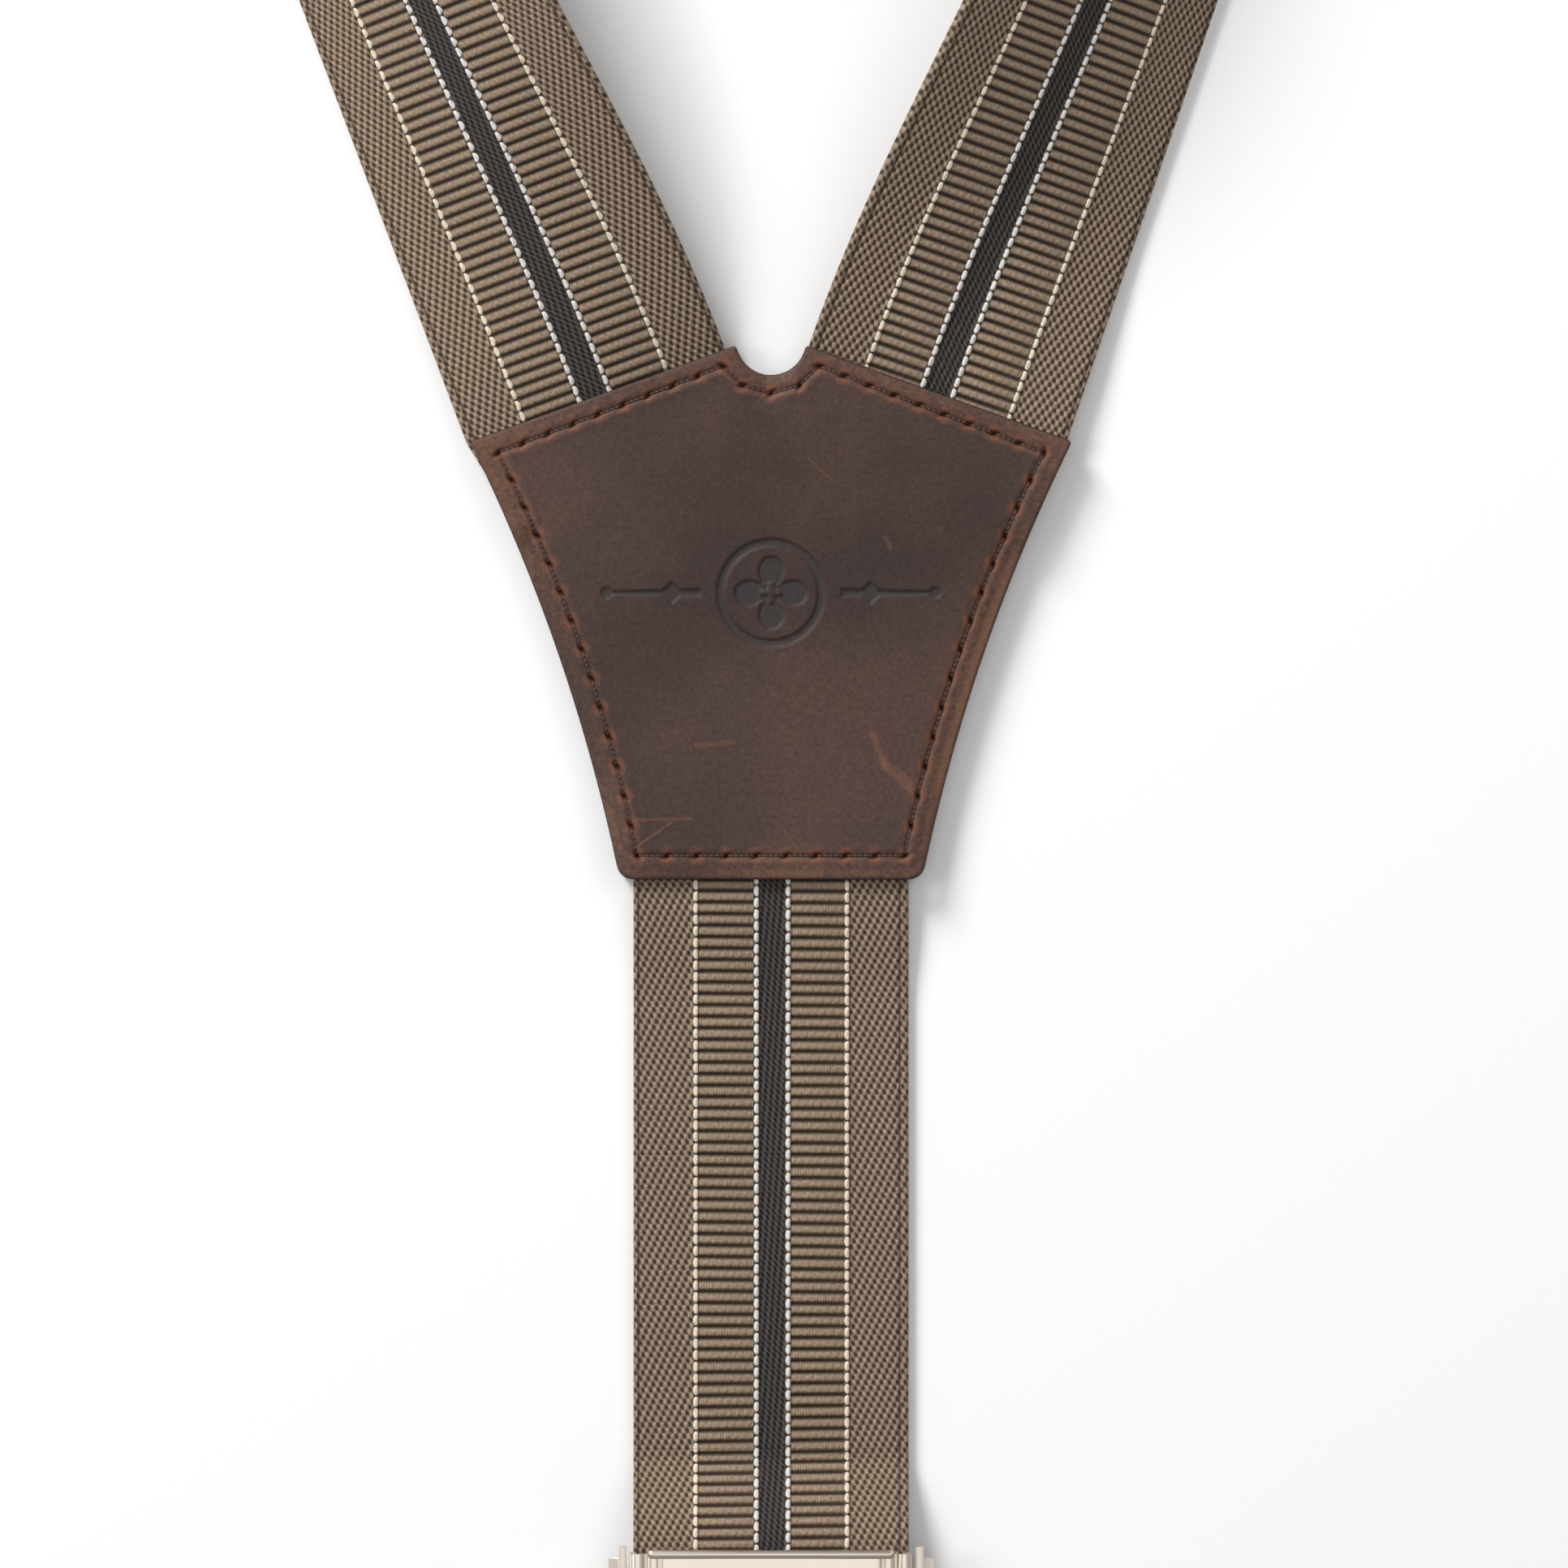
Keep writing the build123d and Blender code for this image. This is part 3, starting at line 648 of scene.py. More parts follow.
def leather_material(name, scratches):
    """Waxed pull-up leather, paler and redder where it is rubbed."""
    g = Graph(name)
    place = g.position()
    cloud = g.noise(place, 55.0, 4.0, 0.6)
    blotch = g.noise(place, 26.0, 3.0, 0.5)
    speck = g.smooth(0.32, 0.68, g.noise(place, 1700.0, 3.0, 0.7))
    grain = g.noise(place, 1100.0, 3.0, 0.65)
    pores = g.cells(place, 1900.0)
    colour = g.mix(g.smooth(0.3, 0.7, blotch), rgb(58, 43, 39), rgb(76, 56, 50))
    colour = g.mix(g.smooth(0.45, 0.75, cloud) * 0.5, colour, rgb(84, 60, 49))
    # Painted shade: the leather darkens towards the middle of the yoke.
    painted_shade = 1.0 - g.smooth(6.0, 27.0, g.segment(place, *DARKENED))
    colour = g.scaled(colour, (0.6 + speck * 0.34 + grain * 0.46) * (1.0 - painted_shade * 0.17))
    edge = g.attribute("edge")
    stitch = g.attribute("stitch")
    hole = g.attribute("hole")
    border = 1.0 - g.smooth(2.4, 4.6, edge + cloud * 1.2)
    border_colour = g.scaled(rgb(98, 69, 53), 0.6 + speck * 0.8)
    colour = g.mix(border * (cloud * 0.9 - 0.1), colour, border_colour)
    worn = g.smooth(0.42, 0.62, cloud * 0.6 + grain * 0.4)
    rim = g.band(edge, 0.25, 1.3, 0.3) * worn
    colour = g.mix(rim * 0.45, colour, rgb(122, 82, 60))
    by_hole = 1.0 - g.smooth(0.35, 1.5, hole + (grain - 0.5) * 1.6)
    rubbed = by_hole * g.smooth(0.35, 0.6, blotch + grain * 0.3)
    colour = g.mix(rubbed * 0.75, colour, rgb(124, 76, 52))
    beside = g.band(stitch + (grain - 0.5) * 0.5, 0.35, 0.8, 0.2) * worn
    colour = g.mix(beside * 0.5, colour, rgb(116, 78, 58))
    for start, end, half, strength in scratches:
        ragged = g.segment(place, start, end) + (grain - 0.5) * half * 4.0
        mark = 1.0 - g.smooth(half * 0.3, half * 1.5, ragged)
        colour = g.mix(mark * strength * 0.45, colour, rgb(128, 84, 62))
    pressed = g.attribute("press")
    colour = g.mix(pressed * 0.75, colour, g.scaled(rgb(50, 46, 46), 0.75 + grain * 0.5))
    groove = 1.0 - g.smooth(0.05, 0.3, stitch)
    colour = g.mix(groove * 0.2, colour, rgb(40, 28, 22))
    # Painted shade in each stitch hole.
    colour = g.mix(g.attribute("pit"), colour, rgb(24, 15, 12))
    cut = 1.0 - g.smooth(0.02, 0.22, edge)
    colour = g.mix(cut * 0.85, colour, rgb(44, 36, 33))
    height = g.smooth(0.1, 0.5, pores) * 0.45 + grain * 0.55
    g.bump(height, 0.045, 0.75)
    return g.finish(colour, 0.54 + cloud * 0.18, Specular_IOR_Level=0.32)


def thread_material():
    g = Graph("thread")
    u, v = g.uv()
    ply = g.math("SINE", u * 6.0 + v * 9.0)
    colour = g.mix(g.smooth(-0.4, 0.8, ply), rgb(46, 31, 25), rgb(86, 58, 45))
    g.bump(ply * 0.5 + 0.5, 0.08, 0.9)
    return g.finish(colour, 0.6)


def nickel_material():
    g = Graph("nickel")
    place = g.position()
    smear = g.noise(place, 70.0, 3.0, 0.6)
    hair = g.noise(place, 420.0, 2.0, 0.5, stretch=(8.0, 0.6, 1.0))
    colour = g.mix(g.smooth(0.35, 0.7, smear), rgb(226, 214, 199), rgb(236, 226, 213))
    g.bump(hair, 0.006, 0.35)
    return g.finish(colour, 0.17 + smear * 0.16, Metallic=1.0)


def pad_material():
    g = Graph("jaw_pad")
    place = g.position()
    speck = g.noise(place, 800.0, 2.0, 0.6)
    colour = g.mix(speck, rgb(28, 27, 27), rgb(46, 44, 43))
    g.bump(speck, 0.03, 0.6)
    return g.finish(colour, 0.62)


def board_material():
    g = Graph("board")
    place = g.position()
    fibre = g.noise(place, 600.0, 3.0, 0.7, stretch=(3.0, 1.0, 1.0))
    colour = g.mix(fibre, rgb(120, 92, 66), rgb(150, 120, 92))
    g.bump(fibre, 0.04, 0.6)
    return g.finish(colour, 0.85)


WEBBING = webbing_material()
LEATHER = leather_material("leather", SCRATCHES)
LEATHER_BACK = leather_material("leather_back", ())
THREAD = thread_material()
NICKEL = nickel_material()
FINISH = {
    "nickel": NICKEL,
    "jaw_pad": pad_material(),
    "board": board_material(),
    "thread": THREAD,
    "webbing": WEBBING,
    "leather": LEATHER,
}

# ---------------------------------------------------------------- yoke

BACK_LOW, BACK_HIGH = level("yoke_back_leather")
FRONT_LOW, FRONT_HIGH = level("yoke_front_leather")
LEATHER_THICK = BACK_HIGH - BACK_LOW
YOKE_LOW, YOKE_HIGH = node_box("yoke_front_leather")
# Corners of the outline's right half, and the curve's middle at the waist.
CORNER = (39.4, 22.3)
WAIST = (27.5, -6.5)
FOOT = (19.8, float(YOKE_LOW[1]))
LIP = (4.55, float(YOKE_HIGH[1]))
NOTCH_BOTTOM = 31.0
CORNER_ROUND = 0.5
FOOT_ROUND = 2.0  # the two lower corners are blunter
OUTLINE_STEP = 0.3


def arc(first, middle, last, step):
    """Points from first towards last on the circle through three points, without the last."""
    (ax, ay), (bx, by), (cx, cy) = first, middle, last
    d = 2 * (ax * (by - cy) + bx * (cy - ay) + cx * (ay - by))
    a2, b2, c2 = ax * ax + ay * ay, bx * bx + by * by, cx * cx + cy * cy
    ux = (a2 * (by - cy) + b2 * (cy - ay) + c2 * (ay - by)) / d
    uy = (a2 * (cx - bx) + b2 * (ax - cx) + c2 * (bx - ax)) / d
    radius = math.hypot(ax - ux, ay - uy)
    start = math.atan2(ay - uy, ax - ux)
    through = math.atan2(by - uy, bx - ux)
    stop = math.atan2(cy - uy, cx - ux)
    turn = (stop - start) % (2 * math.pi)
    if (through - start) % (2 * math.pi) > turn:
        turn -= 2 * math.pi
    count = max(2, int(abs(turn) * radius / step))
    angles = start + turn * np.arange(count) / count
    return np.stack([ux + radius * np.cos(angles), uy + radius * np.sin(angles)], -1)


def straight(first, last, step):
    first, last = np.array(first), np.array(last)
    count = max(1, int(np.linalg.norm(last - first) / step))
    return first + (last - first) * (np.arange(count) / count)[:, None]


def flip(point):
    return (-point[0], point[1])


def resampled(loop, step):
    """A closed line with even spacing."""
    closed = np.vstack([loop, loop[:1]])
    lengths = run_lengths(closed)
    count = int(lengths[-1] / step)
    at = np.arange(count) * lengths[-1] / count
    return np.stack([np.interp(at, lengths, closed[:, k]) for k in (0, 1)], -1)


def softened(loop, radius, step):
    """Rounds a closed line's corners by averaging along it."""
    reach = max(1, int(radius / step))
    total = np.zeros_like(loop)
    for k in range(-reach, reach + 1):
        total += np.roll(loop, k, axis=0)
    return total / (2 * reach + 1)


def yoke_outline():
    parts = [
        straight(LIP, CORNER, OUTLINE_STEP),
        arc(CORNER, WAIST, FOOT, OUTLINE_STEP),
        straight(FOOT, flip(FOOT), OUTLINE_STEP),
        arc(flip(FOOT), flip(WAIST), flip(CORNER), OUTLINE_STEP),
        straight(flip(CORNER), flip(LIP), OUTLINE_STEP),
        arc(flip(LIP), (0, NOTCH_BOTTOM), LIP, OUTLINE_STEP),
    ]
    even = resampled(np.vstack(parts), OUTLINE_STEP)
    crisp = softened(softened(even, CORNER_ROUND, OUTLINE_STEP), 0.4, OUTLINE_STEP)
    blunt = softened(crisp, FOOT_ROUND, OUTLINE_STEP)
    by_foot = crisp[:, 1:] < FOOT[1] + 5
    return np.where(by_foot, blunt, crisp)


# The seam's corners on the right half, and the curve's middle at the waist.
STITCH_TOP = (35.7, 20.8)
STITCH_LIP = (6.3, 32.1)
STITCH_NOTCH = (3.7, 29.6)
STITCH_MIDDLE = (0.0, 28.6)
STITCH_WAIST = (24.4, -6.0)
STITCH_FOOT = (17.5, -31.9)
STITCH_STEP = 0.1


def stitch_runs():
    """The seam as separate runs: its points, its last point and the length of its stitches."""
    corners = (
        (STITCH_LIP, None, STITCH_TOP, 3.5),
        (STITCH_TOP, STITCH_WAIST, STITCH_FOOT, 3.95),
        (STITCH_FOOT, None, flip(STITCH_FOOT), 3.95),
        (flip(STITCH_FOOT), flip(STITCH_WAIST), flip(STITCH_TOP), 3.95),
        (flip(STITCH_TOP), None, flip(STITCH_LIP), 3.5),
        (flip(STITCH_LIP), None, flip(STITCH_NOTCH), 3.6),
        (flip(STITCH_NOTCH), None, STITCH_MIDDLE, 3.8),
        (STITCH_MIDDLE, None, STITCH_NOTCH, 3.8),
        (STITCH_NOTCH, None, STITCH_LIP, 3.6),
    )
    for first, waist, last, pitch in corners:
        if waist:
            points = arc(first, waist, last, STITCH_STEP)
        else:
            points = straight(first, last, STITCH_STEP)
        yield points, last, pitch


def stitch_plan():
    """The seam's points, and each stitch's two holes."""
    line, pairs = [], []
    for points, last, pitch in stitch_runs():
        points = np.vstack([points, [last]])
        lengths = run_lengths(points)
        count = max(1, round(lengths[-1] / pitch))
        at = np.linspace(0, lengths[-1], count + 1)
        holes = np.stack([np.interp(at, lengths, points[:, k]) for k in (0, 1)], -1)
        pairs += list(zip(holes[:-1], holes[1:]))
        line.append(points[:-1])
    return np.vstack(line), pairs


def nearest(points, targets):
    """Distance from each point to the nearest target, and which target that is."""
    tree = KDTree(len(targets))
    for i, (x, y) in enumerate(targets.tolist()):
        tree.insert((x, y, 0.0), i)
    tree.balance()
    found = [tree.find((x, y, 0.0)) for x, y in points.tolist()]
    return np.array([f[2] for f in found]), np.array([f[1] for f in found])


def inside(points, loop):
    """Even-odd test of points against a closed line."""
    x, y = points[:, 0], points[:, 1]
    hit = np.zeros(len(points), bool)
    for (ax, ay), (bx, by) in zip(loop, np.roll(loop, -1, axis=0)):
        if ay == by:
            continue
        crosses = (ay > y) != (by > y)
        hit ^= crosses & (x < (bx - ax) * (y - ay) / (by - ay) + ax)
    return hit


OUTLINE = yoke_outline()
SEAM, STITCHES = stitch_plan()
HOLES = np.array([pair[0] for pair in STITCHES])
HOLE_SLANT = math.radians(22)  # the awl's slots lie at an angle to the seam


def hole_ways():
    """Direction of each hole's slot."""
    made = []
    for start, end in STITCHES:
        x, y = (end - start) / np.linalg.norm(end - start)
        c, s = math.cos(HOLE_SLANT), math.sin(HOLE_SLANT)
        made.append((c * x - s * y, s * x + c * y))
    return np.array(made)


HOLE_WAYS = hole_ways()

# A plain pressed ornament: a four-petal rosette in a ring, and on each side a tapering
# rule with a diamond on it and a dot at its end.
ORNAMENT_AT = (0.0, 2.5)
RING_RADIUS, RING_HALF = 6.6, 0.5
PETAL_ROOT, PETAL = 1.1, 3.7
RULE = (9.2, 21.5)  # its ends' distances from the middle
DIAMOND_AT, DIAMOND = 13.0, 1.5
DOT = 0.75
PRESS_DEPTH = 0.28


def ornament(points):
    """1 inside the pressed ornament and 0 outside it."""
    x, y = (points - np.array(ORNAMENT_AT)).T
    r, a = np.hypot(x, y), np.arctan2(y, x)
    ring = np.abs(r - RING_RADIUS) - RING_HALF
    petals = r - (PETAL_ROOT + PETAL * np.abs(np.cos(2 * a)) ** 0.7)
    veins = 0.32 - np.abs(r * np.sin(2 * a) / 2)
    petals = np.maximum(petals, np.minimum(veins, 1.4 - r + 9 * (r < 1.2)))
    low, high = RULE
    away = np.abs(x)
    share = np.clip((away - low) / (high - low), 0, 1)
    rule = np.maximum(np.abs(y) - (0.5 - 0.32 * share), np.maximum(low - away, away - high))
    diamond = np.abs(away - DIAMOND_AT) + np.abs(y) - DIAMOND
    dot = np.hypot(away - high, y) - DOT
    gap = np.minimum(np.minimum(ring, petals), np.minimum(np.minimum(rule, diamond), dot))
    return 1 - smoothstep(-0.2, 0.2, gap)


def inward(loop):
    """Unit normals of a closed line, pointing in."""
    along = unit(np.roll(loop, -1, axis=0) - np.roll(loop, 1, axis=0))
    normal = np.stack([along[:, 1], -along[:, 0]], -1)
    if not inside(loop[:1] + normal[:1] * 0.5, loop)[0]:
        normal = -normal
    return normal


SEAM_STEP, ORNAMENT_STEP, PLAIN_STEP = 0.16, 0.22, 0.45
RIM_DEPTHS = (0.07, 0.17, 0.3, 0.45, 0.65, 0.9)
RIM_CLEAR = 1.05  # the even grid starts this far inside the rim
FAR = 99.0


def yoke_plan():
    """Points and triangles of a leather seen from above: close near its rim and seam."""
    normals = inward(OUTLINE)
    rings = [OUTLINE + normals * depth for depth in RIM_DEPTHS]
    grid = []
    for step, low, high in ((SEAM_STEP, 0, 1), (ORNAMENT_STEP, 1, FAR), (PLAIN_STEP, 1, FAR)):
        xs = np.arange(YOKE_LOW[0], YOKE_HIGH[0], step)
        ys = np.arange(YOKE_LOW[1], YOKE_HIGH[1], step * 0.866)
        gx, gy = np.meshgrid(xs, ys)
        gx[1::2] += step / 2
        spots = np.stack([gx.ravel(), gy.ravel()], -1)
        pressed = np.abs(spots[:, 0]) < RULE[1] + 2
        pressed &= np.abs(spots[:, 1] - ORNAMENT_AT[1]) < RING_RADIUS + 1
        if step == ORNAMENT_STEP:
            spots = spots[pressed]
        if step == PLAIN_STEP:
            spots = spots[~pressed]
        seam = nearest(spots, SEAM)[0]
        spots = spots[(seam >= low) & (seam < high)]
        spots = spots[nearest(spots, OUTLINE)[0] > RIM_CLEAR]
        grid.append(spots[inside(spots, OUTLINE)])
    everything = np.vstack([OUTLINE, *rings, *grid])
    count = len(OUTLINE)
    rim_edges = [(i, (i + 1) % count) for i in range(count)]
    made = delaunay_2d_cdt([Vector(p) for p in everything.tolist()], rim_edges, [], 1, 1e-5)
    return np.array([tuple(p) for p in made[0]]), made[2]


SEWN_REACH = {"left": 12.0, "right": 12.0, "back": 15.0}  # of each strap into the yoke
CORE_INSET = 5.0  # the stiffener's distance from the rim
CLOSING_WIDTH = 4.5


def sewn_in(points):
    """1 where a strap or the stiffener lies between the leathers, 0 where the leathers meet."""
    gap = np.full(len(points), FAR)
    for key, strap in (*FRONT.items(), ("back", BACK)):
        flat = points - strap.origin[:2]
        x = flat @ strap.across[:2]
        y = flat @ strap.along[:2]
        dx = np.maximum(np.abs(x) - WEB / 2, 0)
        dy = np.maximum(-y - SEWN_REACH[key], 0)
        gap = np.minimum(gap, np.hypot(dx, dy))
    rim = nearest(points, OUTLINE)[0]
    gap = np.minimum(gap, np.maximum(CORE_INSET - rim, 0))
    return 1 - smoothstep(0.0, CLOSING_WIDTH, gap)


def closing(points):
    """How far each leather bends towards the other where nothing lies between them."""
    return (1 - sewn_in(points)) * (FRONT_LOW - BACK_HIGH - 0.1) / 2


RIM_RADIUS = 0.45
HOLE_DEPTH, HOLE_LONG, HOLE_WIDE = 0.55, 0.7, 0.3
BED_DEPTH, BED_HALF = 0.24, 0.3  # the seam's sunk line
SWELL_RISE, SWELL_AT, SWELL_HALF = 0.07, 0.95, 0.45  # the leather pushed up beside it


def leather(name, face_up):
    """One leather of the yoke: rounded rim, sunk seam and holes, closed underneath."""
    points, triangles = YOKE_PLAN
    rim = nearest(points, OUTLINE)[0]
    seam = nearest(points, SEAM)[0]
    hole, which = nearest(points, HOLES)
    away = points - HOLES[which]
    way = HOLE_WAYS[which]
    along = (away * way).sum(axis=1)
    beside = away[:, 0] * way[:, 1] - away[:, 1] * way[:, 0]
    pit = bell(along, HOLE_LONG) * bell(beside, HOLE_WIDE)
    curl = np.clip(RIM_RADIUS - rim, 0, RIM_RADIUS)
    rounding = RIM_RADIUS - np.sqrt(RIM_RADIUS**2 - curl**2)
    bed = BED_DEPTH * bell(seam, BED_HALF) - SWELL_RISE * bell(seam - SWELL_AT, SWELL_HALF)
    x, y = points[:, 0], points[:, 1]
    wave = 0.06 * np.sin(x / 6.1 + 1.0) * np.sin(y / 5.3) + 0.03 * np.sin(x / 2.7 + y / 3.9)
    wave *= smoothstep(0.5, 4.0, rim)
    press = ornament(points) if face_up else np.zeros(len(points))
    outer = rounding + bed + HOLE_DEPTH * pit + wave
    shut = closing(points)
    if face_up:
        top = FRONT_HIGH - shut - outer - PRESS_DEPTH * press
        under = FRONT_LOW - shut + rounding
    else:
        top = BACK_HIGH + shut - rounding
        under = BACK_LOW + shut + np.maximum(outer - wave, 0)
    count = len(points)
    solid = np.vstack([np.c_[points, top], np.c_[points, under]])
    faces = [tuple(t) for t in triangles]
    faces += [tuple(count + i for i in reversed(t)) for t in triangles]
    faces += [(b, a, a + count, b + count) for a, b in boundary(triangles)]
    values = {
        "edge": np.r_[rim, rim],
        "stitch": np.r_[seam, seam],
        "hole": np.r_[hole, hole],
        "pit": np.r_[pit, pit],
        "press": np.r_[press, np.zeros(count)],
    }
    made = mesh_object(name, solid, faces, values=values)
    made.data.materials.append(LEATHER if face_up else LEATHER_BACK)
    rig.slot(made, "leather")
    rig.ride(made, "yoke")
    return made


def boundary(triangles):
    """Directed edges that only one triangle uses."""
    seen = set()
    for t in triangles:
        for a, b in zip(t, (*t[1:], t[0])):
            seen.add((a, b))
    return [(a, b) for a, b in seen if (b, a) not in seen]


def tube(path, radius, ring=8):
    """Points and faces of a closed tube along a path, round at its ends."""
    path = np.asarray(path)
    along = unit(np.gradient(path, axis=0))
    side = unit(np.cross(along, [0, 0, 1.0]))
    up = np.cross(side, along)
    share = np.linspace(-1, 1, len(path))
    girth = radius * np.sqrt(np.clip(1 - np.abs(share) ** 6, 0.02, 1))
    angles = np.arange(ring) * 2 * math.pi / ring
    loops = (
        path[:, None, :]
        + girth[:, None, None] * np.cos(angles)[None, :, None] * side[:, None, :]
        + girth[:, None, None] * np.sin(angles)[None, :, None] * up[:, None, :]
    )
    lengths = run_lengths(path)
    uv = np.stack(np.broadcast_arrays(angles[None, :] / 6.0, lengths[:, None]), -1)
    return loops.reshape(-1, 3), ring_faces(len(path), ring), uv.reshape(-1, 2) * MM


def joined(name, solids, material, slot):
    """One mesh from many (points, faces, uv)."""
    points, faces, uv, first = [], [], [], 0
    for p, f, t in solids:
        points.append(p)
        uv.append(t)
        faces += [tuple(first + i for i in face) for face in f]
        first += len(p)
    made = mesh_object(name, np.vstack(points), faces, np.vstack(uv))
    made.data.materials.append(material)
    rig.slot(made, slot)
    return made


def seam_height(points, face_up):
    """Height of a leather's outer face, before the seam sinks in."""
    return FRONT_HIGH - closing(points) if face_up else BACK_LOW + closing(points)


YOKE_THREAD = 0.16  # radius
STITCH_SINK, STITCH_ARCH = 0.66, 0.42  # how deep a stitch's ends lie, and the rise of its middle


def yoke_stitches():
    """The thread on both faces, dipping into a hole at each end of a stitch."""
    solids = []
    for face_up in (True, False):
        sign = 1 if face_up else -1
        for start, end in STITCHES:
            share = np.linspace(0.0, 1.0, 15)[:, None]
            line = start + (end - start) * share
            arch = 1 - np.abs(2 * share[:, 0] - 1) ** 5
            z = seam_height(line, face_up) + sign * (STITCH_ARCH * arch - STITCH_SINK)
            solids.append(tube(np.c_[line, z], YOKE_THREAD))
    made = joined("sewing_thread", solids, THREAD, "thread")
    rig.ride(made, "yoke")
    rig.replaces(made, "yoke_stitching")


YOKE_PLAN = yoke_plan()


def build_yoke():
    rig.replaces(leather("yoke_front", True), "yoke_front_leather")
    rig.replaces(leather("yoke_back", False), "yoke_back_leather")
    yoke_stitches()


# ---------------------------------------------------------------- straps

TWIST_PEAK = 37.0  # degrees, with the inner edge off the table
TWIST_RISE = 84.0
TWIST_END = 250.0
SETTLE = 30.0  # distance over which a strap comes down from the yoke to the table
SEWN_DEPTH = SEWN_REACH["left"]
SEWN_TRIM = 2.4  # cut off the outer corner of a front strap's sewn end
SEWN_SHY = 0.5  # the visible webbing stops this much short of its sewn depth


def twist(along):
    """A front strap's roll in radians, at a distance from the yoke's edge."""
    rise = np.sin(math.pi / 2 * np.clip(along, 0, TWIST_RISE) / TWIST_RISE)
    share = np.clip((along - TWIST_RISE) / (TWIST_END - TWIST_RISE), 0, 1)
    fall = np.cos(math.pi / 2 * share) ** 2
    return np.radians(TWIST_PEAK) * rise * fall


def laid_path(side):
    """The front strap near the yoke: its inner edge lifts off the table."""
    strap = FRONT[side]
    outer = -1.0 if side == "left" else 1.0

    def path(y, x, rise):
        angle = twist(y)
        from_outer = x if side == "left" else WEB - x
        trimmed = SEWN_TRIM * np.clip(-y / SEWN_DEPTH, 0, 1)
        from_outer = trimmed + from_outer * (WEB - trimmed) / WEB
        foot = LEATHER_THICK * (1 - smoothstep(0, SETTLE, y)) + THICK / 2
        inward_x = WEB / 2 - from_outer * np.cos(angle) + rise * np.sin(angle)
        local_z = foot + from_outer * np.sin(angle) + rise * np.cos(angle)
        return strap.world(outer * inward_x, y, local_z)

    return path


def levelled(strap, heights):
    """A path over the table through (distance along, height of the middle), eased between."""
    marks = np.array([h[0] for h in heights])
    levels = np.array([h[1] for h in heights])

    def path(y, x, rise):
        index = np.clip(np.searchsorted(marks, y, side="right") - 1, 0, len(marks) - 2)
        share = np.clip((y - marks[index]) / (marks[index + 1] - marks[index]), 0, 1)
        step = levels[index + 1] - levels[index]
        z = levels[index] + step * (share * share * (3 - 2 * share))
        slope = step * 6 * share * (1 - share) / (marks[index + 1] - marks[index])
        tilt = np.arctan(slope)
        return strap.world(x - WEB / 2, y - rise * np.sin(tilt), z + rise * np.cos(tilt))

    return path


def curved(strap, outline, start):
    """A path along a side profile given by points (distance along the strap, height)."""
    line = np.array(outline, float)
    for _ in range(4):
        first, last = line[:1], line[-1:]
        a, b = line[:-1], line[1:]
        cut = np.stack([a * 0.75 + b * 0.25, a * 0.25 + b * 0.75], 1).reshape(-1, 2)
        line = np.vstack([first, cut, last])
    lengths = run_lengths(line)
    way = np.gradient(line, lengths, axis=0)

    def path(y, x, rise):
        at = y - start
        along = np.interp(at, lengths, line[:, 0])
        z = np.interp(at, lengths, line[:, 1])
        wy = np.interp(at, lengths, way[:, 0])
        wz = np.interp(at, lengths, way[:, 1])
        size = np.hypot(wy, wz)
        return strap.world(x - WEB / 2, along - rise * wz / size, z + rise * wy / size)

    return path, start + lengths[-1]


NEAR_END = 75.0  # the finely woven stretch of a front strap ends here
STRETCH_END = 300.0
MID = THICK / 2
PLY = 0.1  # gap between two layers
BAR_CLEAR = 0.05
ADJ_PIVOT_Y = 8.0  # from the adjuster's middle to its lever's pin
ADJ_SHEET = 0.8
ADJ_REACH = 14.0  # the lower strap runs on this far past the adjuster's middle


def sheet(piece, length):
    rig.sheet(piece, flat=(WEB * MM, length * MM), held="laid")


def adjuster_middle(side):
    """How far along its strap an adjuster sits."""
    return FRONT[side].distance(f"adjuster_open_{side}") + ADJ_PIVOT_Y


def in_adjuster(side):
    """Height of the middle of webbing that lies on the adjuster's plate."""
    return level(f"adjuster_frame_{side}")[0] + ADJ_SHEET + PLY + MID


def round_bar(node, clip_at):
    """The bar's height, the radius of webbing round it, and that bend from top to bottom."""
    height, radius = rod_size(node)
    turn = radius + BAR_CLEAR + MID
    angles = np.linspace(0, math.pi, 9)
    bend = [(clip_at + turn * math.sin(a), height + turn * math.cos(a)) for a in angles]
    return height, turn, bend


